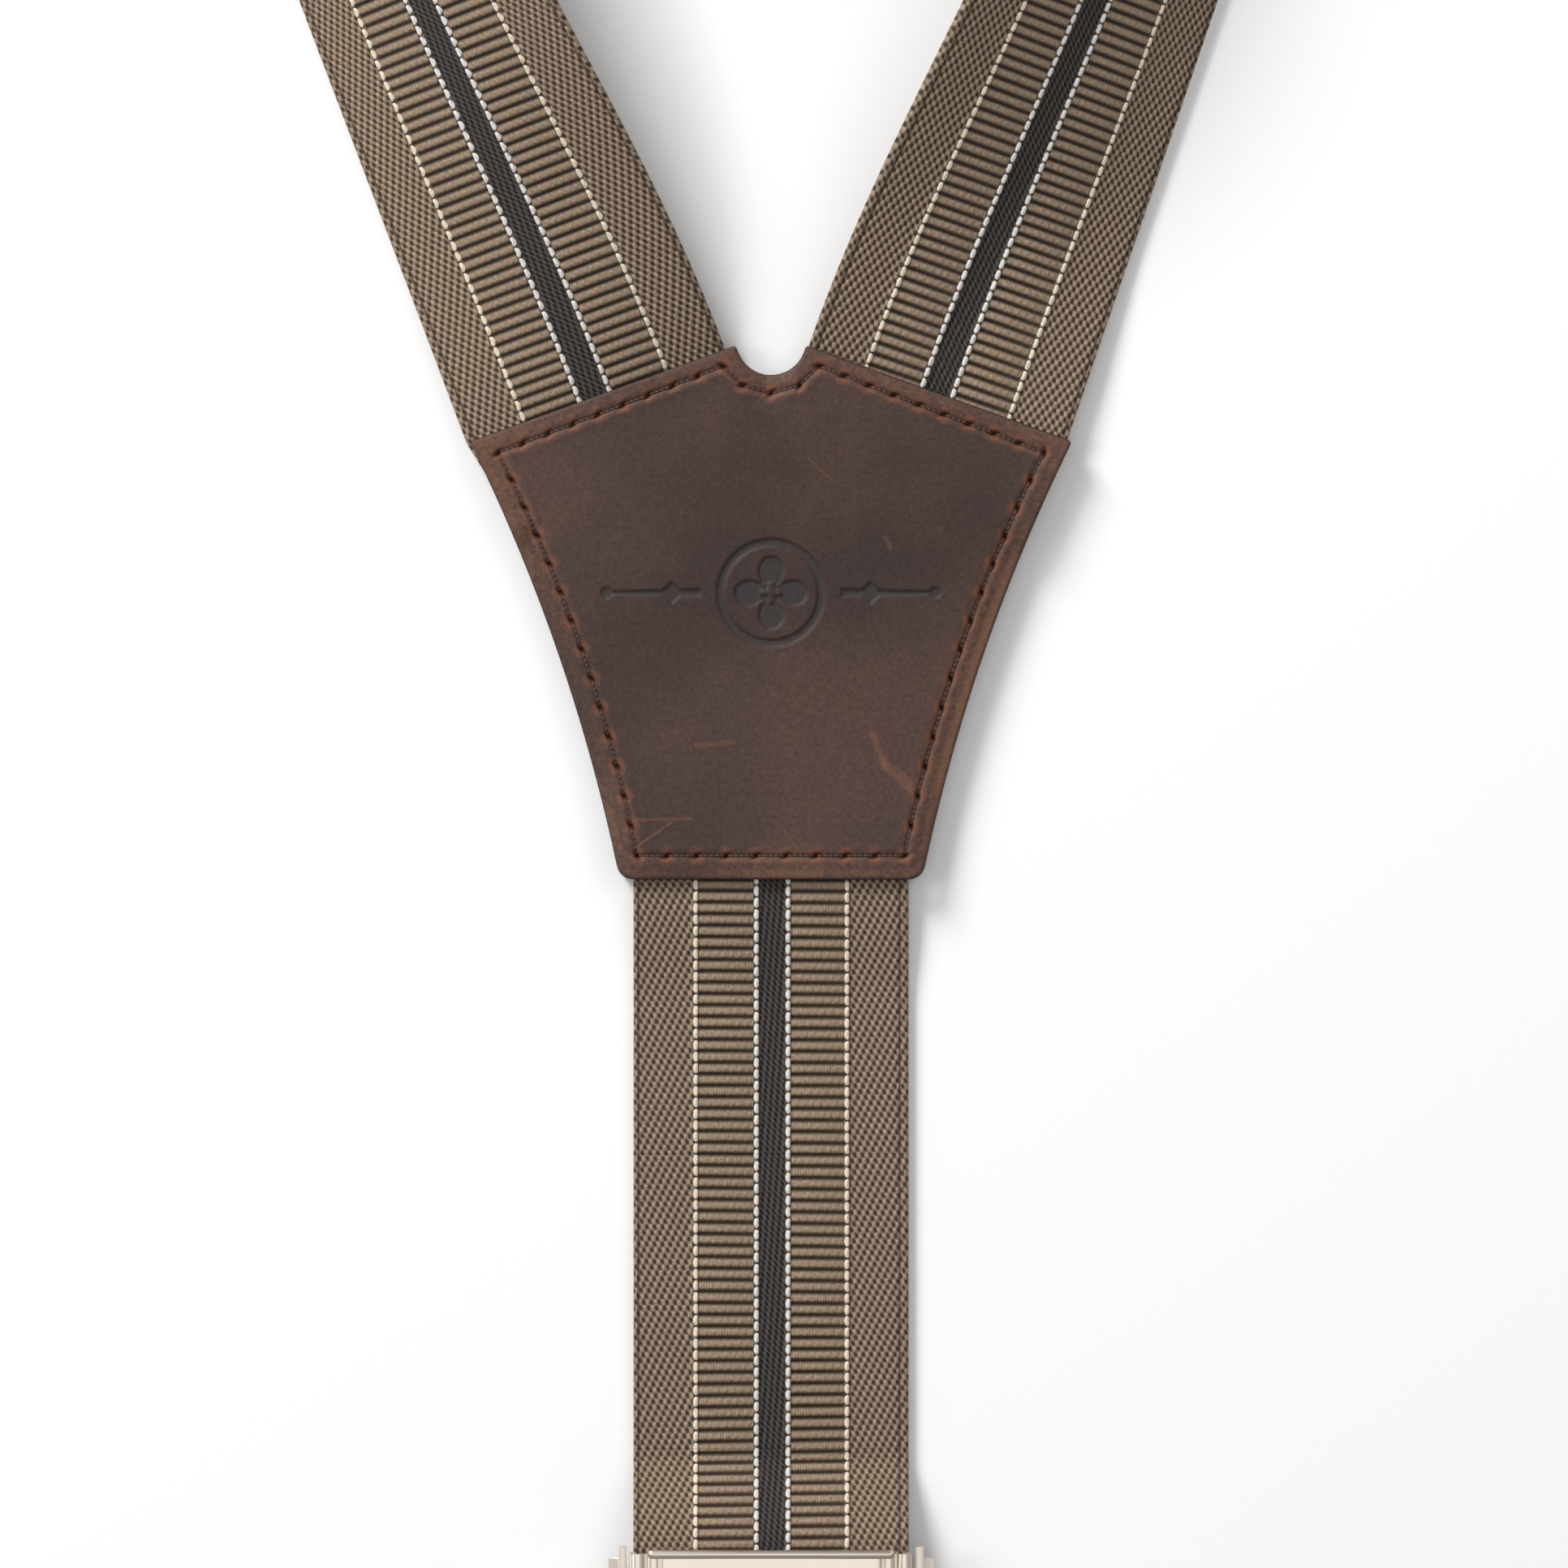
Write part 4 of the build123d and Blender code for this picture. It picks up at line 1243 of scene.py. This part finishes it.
def front_strap(side):
    """A front strap in three lengths, and the loop from its adjuster round its clip's bar."""
    strap = FRONT[side]
    upper_body, lower_body = f"strap_upper_{side}", f"strap_lower_{side}"
    adjuster_body, loop_body = f"adjuster_{side}", f"clip_loop_{side}"
    clip_at = strap.distance(f"clip_swing_{side}")
    at = adjuster_middle(side)
    handover = at + ADJ_REACH
    start = SEWN_SHY - SEWN_DEPTH

    near = webbing(f"front_strap_{side}_near", laid_path(side), start, NEAR_END, 2, 8)
    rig.blend(near, "yoke", upper_body, strap.point(-0.5), strap.point(34))
    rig.replaces(near, f"front_strap_upper_{side}")
    sheet(near, NEAR_END - start)

    middle = webbing(f"front_strap_{side}_middle", laid_path(side), NEAR_END, STRETCH_END, 1, 5)
    ends = strap.point(NEAR_END + 1), strap.point(STRETCH_END - 1)
    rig.blend(middle, upper_body, lower_body, *ends)
    sheet(middle, STRETCH_END - NEAR_END)

    in_plate = in_adjuster(side)
    over_end = in_plate + THICK + PLY
    heights = [
        (STRETCH_END, MID),
        (at - 30, MID),
        (at - 15, in_plate),
        (at - 1, in_plate),
        (at + 5, over_end),
        (handover, over_end),
    ]
    path = levelled(strap, heights)
    lower = webbing(f"front_strap_{side}_lower", path, STRETCH_END, handover, 1, 5)
    ends = strap.point(STRETCH_END + 3), strap.point(at - 26)
    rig.blend(lower, lower_body, adjuster_body, *ends)
    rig.replaces(lower, f"front_strap_lower_{side}")
    sheet(lower, handover - STRETCH_END)

    bar_z, turn, bend = round_bar(f"{side}_clip_bar", clip_at)
    over_ply = MID + THICK + PLY
    outline = [
        (handover, over_end),
        (at + 22, over_end),
        (at + 38, over_ply),
        (clip_at - 24, over_ply),
        (clip_at - 6, bar_z + turn),
        *bend,
        (clip_at - 4, bar_z - turn),
        (clip_at - 14, MID),
        (at + 30, MID),
    ]
    path, end = curved(strap, outline, handover)
    loop = webbing(f"clip_loop_{side}_webbing", path, handover, end, 1, 5)
    ends = strap.point(at + 40), strap.point(clip_at - 26)
    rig.blend(loop, adjuster_body, loop_body, *ends)
    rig.replaces(loop, f"clip_loop_{side}")
    sheet(loop, end - handover)


def back_strap():
    """The back strap in two lengths, and its sewn loop round the clip's bar."""
    clip_at = BACK.distance("back_clip_swing")
    inside_z = LEATHER_THICK + MID
    reach = SEWN_REACH["back"]
    start, split, loop_from = SEWN_SHY - reach, 36.0, clip_at - 22.0
    heights = [(-reach, inside_z), (1, inside_z), (16, MID), (loop_from, MID)]
    path = levelled(BACK, heights)
    near = webbing("back_strap_near", path, start, split, 2, 8)
    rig.blend(near, "yoke", "back_strap", BACK.point(0), BACK.point(split - 2))
    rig.replaces(near, "back_strap")
    sheet(near, split - start)
    far = webbing("back_strap_far", path, split, loop_from, 2, 8)
    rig.blend(far, "back_strap", "back_loop", BACK.point(split + 1), BACK.point(loop_from - 1))
    sheet(far, loop_from - split)

    bar_z, turn, bend = round_bar("back_clip_bar", clip_at)
    sewn = (THICK + PLY) / 2
    outline = [
        (loop_from, MID),
        (loop_from + 2, MID),
        (clip_at - 10, bar_z + sewn),
        (clip_at - 4.5, bar_z + sewn),
        (clip_at - 1.5, bar_z + turn),
        *bend,
        (clip_at - 1.5, bar_z - turn),
        (clip_at - 4.5, bar_z - sewn),
        (clip_at - 9, bar_z - sewn),
    ]
    path, end = curved(BACK, outline, loop_from)
    loop = webbing("back_loop_webbing", path, loop_from, end, 2, 8)
    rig.ride(loop, "back_loop")
    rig.replaces(loop, "back_loop")
    sheet(loop, end - loop_from)


def strap_end(side):
    """The return's end, sewn round the adjuster's crossbar."""
    at = adjuster_middle(side)
    over = in_adjuster(side)
    ply = MID + THICK + PLY
    outline = [
        (at + 30, MID),
        (at + 10, MID),
        (at + 7.2, MID + 0.1),
        (at + 6.9, (MID + over) / 2),
        (at + 7.2, over),
        (at + 13, over),
        (at + 17, ply),
        (at + 25, ply),
    ]
    path, end = curved(FRONT[side], outline, 0.0)
    made = webbing(f"strap_end_{side}_webbing", path, 0.0, end, 1, 5)
    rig.ride(made, f"adjuster_{side}")
    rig.replaces(made, f"strap_end_{side}")
    sheet(made, end)


# ---------------------------------------------------------------- metal parts

SHEET_METAL = 0.9
PIN_HEAD = 0.5  # how far a rivet's head is wider than its pin
PIN_CLEAR = 0.05
TIP = 1e-3  # radius left at the tip of a rounded end


def placed(strap, at):
    """Turns points of a fitting's own frame (x across, +y towards the yoke) into row points."""

    def place(points):
        points = np.asarray(points, float)
        return strap.world(-points[:, 0], at - points[:, 1], points[:, 2])

    return place


def eased(name, node, body, width, slot="nickel"):
    """A copy of a CAD node with its sharp edges rounded."""
    bm = bmesh.new()
    bm.from_mesh(frame["nodes"][node].data)
    bmesh.ops.remove_doubles(bm, verts=bm.verts, dist=1e-6)
    bmesh.ops.dissolve_limit(bm, angle_limit=math.radians(1.0), verts=bm.verts, edges=bm.edges)
    shared = [edge for edge in bm.edges if len(edge.link_faces) == 2]
    sharp = [edge for edge in shared if edge.calc_face_angle() > math.radians(30)]
    bmesh.ops.bevel(
        bm, geom=sharp, offset=width * MM, segments=3, profile=0.5, affect="EDGES", clamp_overlap=True
    )
    bmesh.ops.triangulate(bm, faces=[f for f in bm.faces if len(f.verts) > 4])
    mesh = bpy.data.meshes.new(name)
    bm.to_mesh(mesh)
    bm.free()
    made = bpy.data.objects.new(name, mesh)
    bpy.context.scene.collection.objects.link(made)
    mesh.shade_smooth()
    mesh.set_sharp_from_angle(angle=math.radians(38))
    mesh.materials.append(FINISH[slot])
    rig.slot(made, slot)
    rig.ride(made, body)
    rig.replaces(made, node)


def swept(profile, half, relief, thick, fine):
    """Sheet metal bent along a side profile of (y, z), with rounded sides and a raised pattern."""
    line = np.array(profile, float)
    way = unit(np.gradient(line, axis=0))
    normal = np.stack([-way[:, 1], way[:, 0]], -1)
    lengths = run_lengths(line)
    edge = thick / 2
    ease = half - edge * (1 - np.cos(np.linspace(0, math.pi / 2, 5)))
    xs = np.unique(np.round(np.r_[-ease, ease, np.linspace(-half, half, 25)[1:-1], fine], 4))
    over = np.clip((np.abs(xs) - (half - edge)) / edge, 0, 1)
    share = np.sqrt(1 - over**2)
    rise = relief(xs[None, :], lengths[:, None]) * share
    top = edge * share + rise
    under = np.broadcast_to(-edge * share, rise.shape)
    rows = np.concatenate([top, under[:, ::-1][:, 1:-1]], 1)
    across = np.concatenate([xs, xs[::-1][1:-1]])
    points = np.empty((len(line), len(across), 3))
    points[..., 0] = across
    points[..., 1] = line[:, None, 0] + normal[:, None, 0] * rows
    points[..., 2] = line[:, None, 1] + normal[:, None, 1] * rows
    return points.reshape(-1, 3), ring_faces(len(line), len(across))


def lathe(stations, ring=28):
    """A turned part along x from (x, radius, y, z) stations."""
    angles = np.arange(ring) * 2 * math.pi / ring
    points = [(x, y + r * math.cos(a), z + r * math.sin(a)) for x, r, y, z in stations for a in angles]
    return np.array(points), ring_faces(len(stations), ring)


def cap(half, radius, bulge, y, z, count):
    """Stations of a rounded end at x = -half, from its tip on."""
    turns = np.linspace(math.pi / 2, 0, count)
    return [(-half + bulge * (1 - math.sin(t)), radius * math.cos(t) + TIP, y, z) for t in turns]


def both_ends(stations):
    return stations + [(-x, r, y, z) for x, r, y, z in stations[::-1]]


def dome(half, radius, y, z, bulge):
    """Stations of a rod with rounded ends."""
    return both_ends(cap(half, radius, bulge, y, z, 7))


def rivet(half, radius, y, z):
    """Stations of a pin whose two ends are headed over."""
    head = cap(half, radius + PIN_HEAD, 0.55, y, z, 6)
    return both_ends([*head, (-half + 0.7, radius, y, z)])


def barrel(half, outer, inner, y, z, ring=36):
    """A rolled knuckle: a tube with rounded ends, open for its pin."""
    middle, wall = (outer + inner) / 2, (outer - inner) / 2
    section = []
    for t in np.linspace(0, 2 * math.pi, 16, endpoint=False):
        x = math.copysign(half - wall + wall * abs(math.cos(t)), math.cos(t))
        section.append((x, middle + wall * math.sin(t)))
    points = [
        (x, y + r * math.cos(a), z + r * math.sin(a))
        for a in np.arange(ring) * 2 * math.pi / ring
        for x, r in section
    ]
    count = len(section)
    faces = []
    for i in range(ring):
        k = (i + 1) % ring
        for c in range(count):
            d = (c + 1) % count
            faces.append((i * count + c, i * count + d, k * count + d, k * count + c))
    return np.array(points), faces


def prism(outline, low, high, ease=0.25):
    """A solid with a side outline of (y, z) between two x, with eased ends."""
    outline = np.array(outline, float)
    middle = outline.mean(axis=0)
    size = np.abs(outline - middle).max()
    rows = []
    for turn in (0.0, math.pi / 4, math.pi / 2):
        inset = ease * (1 - math.sin(turn))
        rows.append((low + inset, 1 - inset / size))
    rows += [(high + low - x, k) for x, k in rows[::-1]]
    points = [(x, *(middle + (p - middle) * k)) for x, k in rows for p in outline]
    return np.array(points), ring_faces(len(rows), len(outline))


def fitting(name, solids, place, body, slot, *nodes):
    """One piece from solids in a fitting's own frame."""
    laid = [(place(points), faces, np.zeros((len(points), 2))) for points, faces in solids]
    made = joined(name, laid, FINISH[slot], slot)
    outward(made)
    made.data.set_sharp_from_angle(angle=math.radians(48))
    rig.ride(made, body)
    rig.replaces(made, *nodes)


def outward(made):
    """Turns every shell's faces outwards."""
    bm = bmesh.new()
    bm.from_mesh(made.data)
    bmesh.ops.recalc_face_normals(bm, faces=bm.faces)
    bm.to_mesh(made.data)
    bm.free()


def rectangle(across, up, radius):
    """A rounded rectangle from its two ranges."""
    (left, right), (low, high) = across, up
    return rounded([(left, low), (right, low), (right, high), (left, high)], radius)


def rounded(outline, radius):
    """A polygon with arcs at its corners."""
    made = []
    count = len(outline)
    for i in range(count):
        here = np.array(outline[i], float)
        before = np.array(outline[i - 1], float) - here
        after = np.array(outline[(i + 1) % count], float) - here
        before /= np.linalg.norm(before)
        after /= np.linalg.norm(after)
        for t in np.linspace(0, 1, 5):
            a, b = here + before * radius, here + after * radius
            made.append(tuple((1 - t) ** 2 * a + 2 * t * (1 - t) * here + t**2 * b))
    return made


# Clip, in its own frame: loop bar at y = 0, z = 0 on the table.
COVER_HALF = 18.5
COVER_TOP_Y = 9.2
COVER_KNUCKLE = 2.2
PANEL_HALF = 16.1
PANEL_LINE_X, PANEL_LINE_Y = 14.6, 5.0  # the fine pressed line, and how far down it starts
BEAD = (16.5, 18.3)
FLANGE = (17.65, 18.45)
FLANGE_DEPTH = 1.35
JAW_HALF = 15.0
TONGUE_HALF, TONGUE_END = 0.9, 3.3
LIP_ROLL = 0.6
BAR_HALF, CLIP_PIN_HALF = 20.4, 20.7


def cover_relief(x, s):
    """The cover's pressed pattern: a slightly crowned panel between two long beads."""
    away = np.abs(x)
    low, high = BEAD
    bead = np.sqrt(np.clip(1 - ((away - (low + high) / 2) / ((high - low) / 2)) ** 2, 0, 1))
    groove = bell(away - (PANEL_HALF + 0.2), 0.17)
    crown = 0.22 * np.clip(1 - (away / PANEL_HALF) ** 2, 0, 1)
    line = bell(away - PANEL_LINE_X, 0.22) * smoothstep(PANEL_LINE_Y - 1, PANEL_LINE_Y, s)
    cross = bell(s - PANEL_LINE_Y, 0.3) * (away < PANEL_LINE_X)
    return 0.42 * bead - 0.3 * groove + crown - 0.14 * np.maximum(line, cross)


def pad_outline(pivot, low, high):
    """Side outline of the jaw's toothed pad: three blunt teeth under a flat back."""
    teeth = [(pivot - 1.5, high), (pivot - 1.5, low + 0.25)]
    for y in (pivot - 1.5, pivot - 0.5, pivot + 0.5):
        teeth += [(y + 0.25, low), (y + 0.75, low), (y + 1.0, low + 0.3)]
    return [*teeth, (pivot + 1.5, high)]


def clip(which, strap, body, lever, swing, opening):
    """A strap's clip: base, loop bar, hinge pin, cover with its jaw, and both pads."""
    at = strap.distance(swing)
    pivot = at - strap.distance(opening)
    place = placed(strap, at)
    pin, pin_radius = rod_size(f"{which}_clip_pin")
    bar_z, bar_radius = rod_size(f"{which}_clip_bar")
    eased(f"{which}_clip_frame", f"{which}_clip_base", body, 0.22)
    bar = lathe(dome(BAR_HALF, bar_radius, 0.0, bar_z, 0.4))
    fitting(f"{which}_clip_loop_bar", [bar], place, body, "nickel", f"{which}_clip_bar")
    rivets = lathe(rivet(CLIP_PIN_HALF, pin_radius, pivot, pin))
    fitting(f"{which}_clip_hinge_pin", [rivets], place, body, "nickel", f"{which}_clip_pin")

    plate_z = pin + COVER_KNUCKLE - SHEET_METAL / 2
    stations = [pivot, *np.arange(COVER_TOP_Y - 0.9, pivot, -0.35)[::-1], COVER_TOP_Y - 0.55]
    marks = (*np.arange(16.0, COVER_HALF, 0.12), *(PANEL_LINE_X + k for k in (-0.4, -0.2, 0, 0.2, 0.4)))
    fine = [sign * x for sign in (-1, 1) for x in marks]
    flange_y, flange_z = (pivot + 3, COVER_TOP_Y - 0.3), (plate_z - FLANGE_DEPTH, plate_z)
    flange = rectangle(flange_y, flange_z, 0.35)
    tongue = rectangle((pivot - TONGUE_HALF, pivot + TONGUE_HALF), (TONGUE_END, pin), 0.3)
    solids = [
        swept([(y, plate_z) for y in stations], COVER_HALF, cover_relief, SHEET_METAL, fine),
        lathe(dome(PANEL_HALF, LIP_ROLL, COVER_TOP_Y - LIP_ROLL, pin + COVER_KNUCKLE, LIP_ROLL)),
        barrel(COVER_HALF, COVER_KNUCKLE, pin_radius + PIN_CLEAR, pivot, pin),
        prism(tongue, -JAW_HALF, JAW_HALF),
        prism(flange, -FLANGE[1], -FLANGE[0], ease=0.2),
        prism(flange, *FLANGE, ease=0.2),
    ]
    fitting(f"{which}_clip_cover", solids, place, lever, "nickel", f"{which}_clip_lever")

    teeth = pad_outline(pivot, *level(f"{which}_clip_lever_pad"))
    pad = prism(teeth, -JAW_HALF, JAW_HALF, ease=0.3)
    fitting(f"{which}_clip_upper_pad", [pad], place, lever, "jaw_pad", f"{which}_clip_lever_pad")
    eased(f"{which}_clip_lower_pad", f"{which}_clip_base_pad", body, 0.18, "jaw_pad")


# Adjuster, in its own frame: +y towards the yoke, z = 0 on the table.
ADJ_LEVER_HALF = 18.3
ADJ_LEVER_END = -11.5
ADJ_KNUCKLE = 1.8
ADJ_PIN_HALF = 20.1
TOOTH_PITCH, TOOTH_HALF = 2.4, 0.6
TOOTH_ROOT = 1.2  # below the pin's middle


def lever_relief(x, s):
    """Three grip ribs near the lever's free end and a line along each side."""
    ribs = sum(bell(s - at, 0.32) for at in (2.6, 4.4, 6.2))
    return 0.28 * ribs * (np.abs(x) < 14.8) - 0.16 * bell(np.abs(x) - 16.6, 0.3)


def adjuster(side):
    """An adjuster: frame, pin, and lever with the teeth that grip the webbing."""
    place = placed(FRONT[side], adjuster_middle(side))
    body, lever = f"adjuster_{side}", f"adjuster_lever_{side}"
    pin, radius = rod_size(f"adjuster_pin_{side}")
    eased(f"adjuster_{side}_frame", f"adjuster_frame_{side}", body, 0.2)
    rivets = lathe(rivet(ADJ_PIN_HALF, radius, ADJ_PIVOT_Y, pin))
    fitting(f"adjuster_{side}_pin", [rivets], place, body, "nickel", f"adjuster_pin_{side}")

    plate_z = pin + ADJ_KNUCKLE - ADJ_SHEET / 2
    turned_up = [(ADJ_LEVER_END + y, plate_z + z) for y, z in ((0, 0.35), (0.6, 0.2), (1.3, 0))]
    level_ys = (*np.arange(ADJ_LEVER_END + 1.6, ADJ_PIVOT_Y, 0.3), ADJ_PIVOT_Y)
    profile = turned_up + [(y, plate_z) for y in level_ys]
    fine = [sign * x for sign in (-1, 1) for x in np.arange(14.6, 17.4, 0.2)]
    solids = [
        swept(profile, ADJ_LEVER_HALF, lever_relief, ADJ_SHEET, fine),
        barrel(ADJ_LEVER_HALF, ADJ_KNUCKLE, radius + PIN_CLEAR, ADJ_PIVOT_Y, pin),
    ]
    grip = level(f"adjuster_lever_{side}")[0]
    corners = ((-0.5, pin - TOOTH_ROOT), (-0.12, grip), (0.12, grip), (0.5, pin - TOOTH_ROOT))
    tooth = [(ADJ_PIVOT_Y + y, z) for y, z in corners]
    count = int(2 * ADJ_LEVER_HALF // TOOTH_PITCH)
    for i in range(count):
        x = (i - (count - 1) / 2) * TOOTH_PITCH
        solids.append(prism(tooth, x - TOOTH_HALF, x + TOOTH_HALF, ease=0.15))
    fitting(f"adjuster_{side}_lever", solids, place, lever, "nickel", f"adjuster_lever_{side}")


ROW_STITCHES, ROW_PITCH, ROW_STITCH, ROW_THREAD = 10, 3.2, 2.2, 0.22


def sewn_rows(name, node, place, rows, body):
    """Rows of short stitches lying across the webbing."""
    middle = sum(level(node)) / 2
    share = np.linspace(-1, 1, 9)
    z = middle + 0.12 - 0.35 * np.abs(share) ** 3
    solids = []
    for y in rows:
        for i in range(ROW_STITCHES):
            x = (i - (ROW_STITCHES - 1) / 2) * ROW_PITCH + share * ROW_STITCH / 2
            line = np.stack([x, np.full_like(x, y), z], -1)
            solids.append(tube(place(line), ROW_THREAD))
    made = joined(name, solids, THREAD, "thread")
    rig.ride(made, body)
    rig.replaces(made, node)


# ---------------------------------------------------------------- CAD nodes that stay

def dress_cad_nodes():
    """Gives every CAD node the material of its slot."""
    slots = {entry["node"]: entry["material_slot"] for entry in frame["record"]["subparts"]}
    for name, node in frame["nodes"].items():
        node.data.materials.clear()
        node.data.materials.append(FINISH[slots[name]])


# ---------------------------------------------------------------- stage

VIEW_CENTRE = (1.7, -22.5)
VIEW_WIDTH = 205.3
LENS = 400.0
SENSOR = 36.0
FLOOR_HALF, FLOOR_Z = 6000.0, -0.02

SKY = (0.22, 0.47)  # strength at the horizon and high up
SKY_TOP = 0.8  # added straight overhead, for the metal to reflect
SKY_TOP_FROM, SKY_TOP_FULL = 0.93, 0.995  # heights on the unit sphere
# Each lamp's name, place, width and power in watts.
LIGHTS = (
    ("key", (-760.0, 990.0, 700.0), 560.0, 19.5),
    ("side", (-1050.0, 100.0, 1050.0), 500.0, 3.4),
    ("fill", (900.0, 500.0, 1000.0), 900.0, 2.6),
)


def stage():
    """A white floor, a soft sky and three round lamps, with the key light low at the upper left."""
    world = bpy.data.worlds.new("studio")
    bpy.context.scene.world = world
    world.use_nodes = True
    nodes, links = world.node_tree.nodes, world.node_tree.links
    place = nodes.new("ShaderNodeTexCoord")
    parts = nodes.new("ShaderNodeSeparateXYZ")
    links.new(place.outputs["Generated"], parts.inputs[0])
    ramp = nodes.new("ShaderNodeMapRange")
    ramp.inputs["From Min"].default_value, ramp.inputs["From Max"].default_value = 0.0, 1.0
    ramp.inputs["To Min"].default_value, ramp.inputs["To Max"].default_value = SKY
    links.new(parts.outputs["Z"], ramp.inputs["Value"])
    top = nodes.new("ShaderNodeMapRange")
    top.inputs["From Min"].default_value = SKY_TOP_FROM
    top.inputs["From Max"].default_value = SKY_TOP_FULL
    top.inputs["To Max"].default_value = SKY_TOP
    links.new(parts.outputs["Z"], top.inputs["Value"])
    total = nodes.new("ShaderNodeMath")
    links.new(ramp.outputs[0], total.inputs[0])
    links.new(top.outputs[0], total.inputs[1])
    links.new(total.outputs[0], nodes["Background"].inputs["Strength"])
    nodes["Background"].inputs["Color"].default_value = (1, 1, 1, 1)
    signs = ((-1, -1), (1, -1), (1, 1), (-1, 1))
    corners = [(x * FLOOR_HALF, y * FLOOR_HALF, FLOOR_Z) for x, y in signs]
    floor = mesh_object("floor", corners, [(0, 1, 2, 3)])
    g = Graph("floor")
    floor.data.materials.append(g.finish(rgb(250, 250, 250), 0.9, Specular_IOR_Level=0.0))
    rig.stage(floor)
    for name, place, width, power in LIGHTS:
        light = bpy.data.lights.new(name, "AREA")
        light.shape, light.size, light.energy = "DISK", width * MM, power
        lamp = bpy.data.objects.new(name, light)
        lamp.location = Vector(place) * MM
        aim = Vector((*VIEW_CENTRE, 0)) * MM - lamp.location
        lamp.rotation_euler = aim.to_track_quat("-Z", "Y").to_euler()
        bpy.context.scene.collection.objects.link(lamp)


def camera():
    """Straight down at the face side, from far enough for a nearly parallel view."""
    data = bpy.data.cameras.new("camera")
    data.lens, data.sensor_width = LENS, SENSOR
    made = bpy.data.objects.new("camera", data)
    distance = VIEW_WIDTH * LENS / SENSOR + LEATHER_THICK
    made.location = Vector((*VIEW_CENTRE, distance)) * MM
    bpy.context.scene.collection.objects.link(made)
    bpy.context.scene.camera = made
    bpy.context.scene.view_settings.view_transform = "Standard"


# ---------------------------------------------------------------- the whole

camera()
stage()
dress_cad_nodes()
build_yoke()
for side in SIDES:
    strap = FRONT[side]
    stitched = placed(strap, adjuster_middle(side))
    bodies = f"clip_{side}", f"clip_lever_{side}"
    joints = f"clip_swing_{side}", f"clip_open_{side}"
    front_strap(side)
    strap_end(side)
    adjuster(side)
    sewn_rows(
        f"strap_end_{side}_stitches",
        f"strap_end_stitching_{side}",
        stitched,
        (-21.5, -23.5),
        f"adjuster_{side}",
    )
    clip(side, strap, *bodies, *joints)
back_strap()
stitched = placed(BACK, BACK.distance("back_clip_swing"))
sewn_rows("back_loop_stitches", "back_loop_stitching", stitched, (6.0, 8.0), "back_loop")
clip("back", BACK, "back_clip", "back_clip_lever", "back_clip_swing", "back_clip_open")

with open("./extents.json", "w") as out:
    json.dump({"cad": np.array(CAD_BOUNDS).tolist(), "visual": np.array(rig.bounds()).tolist()}, out)
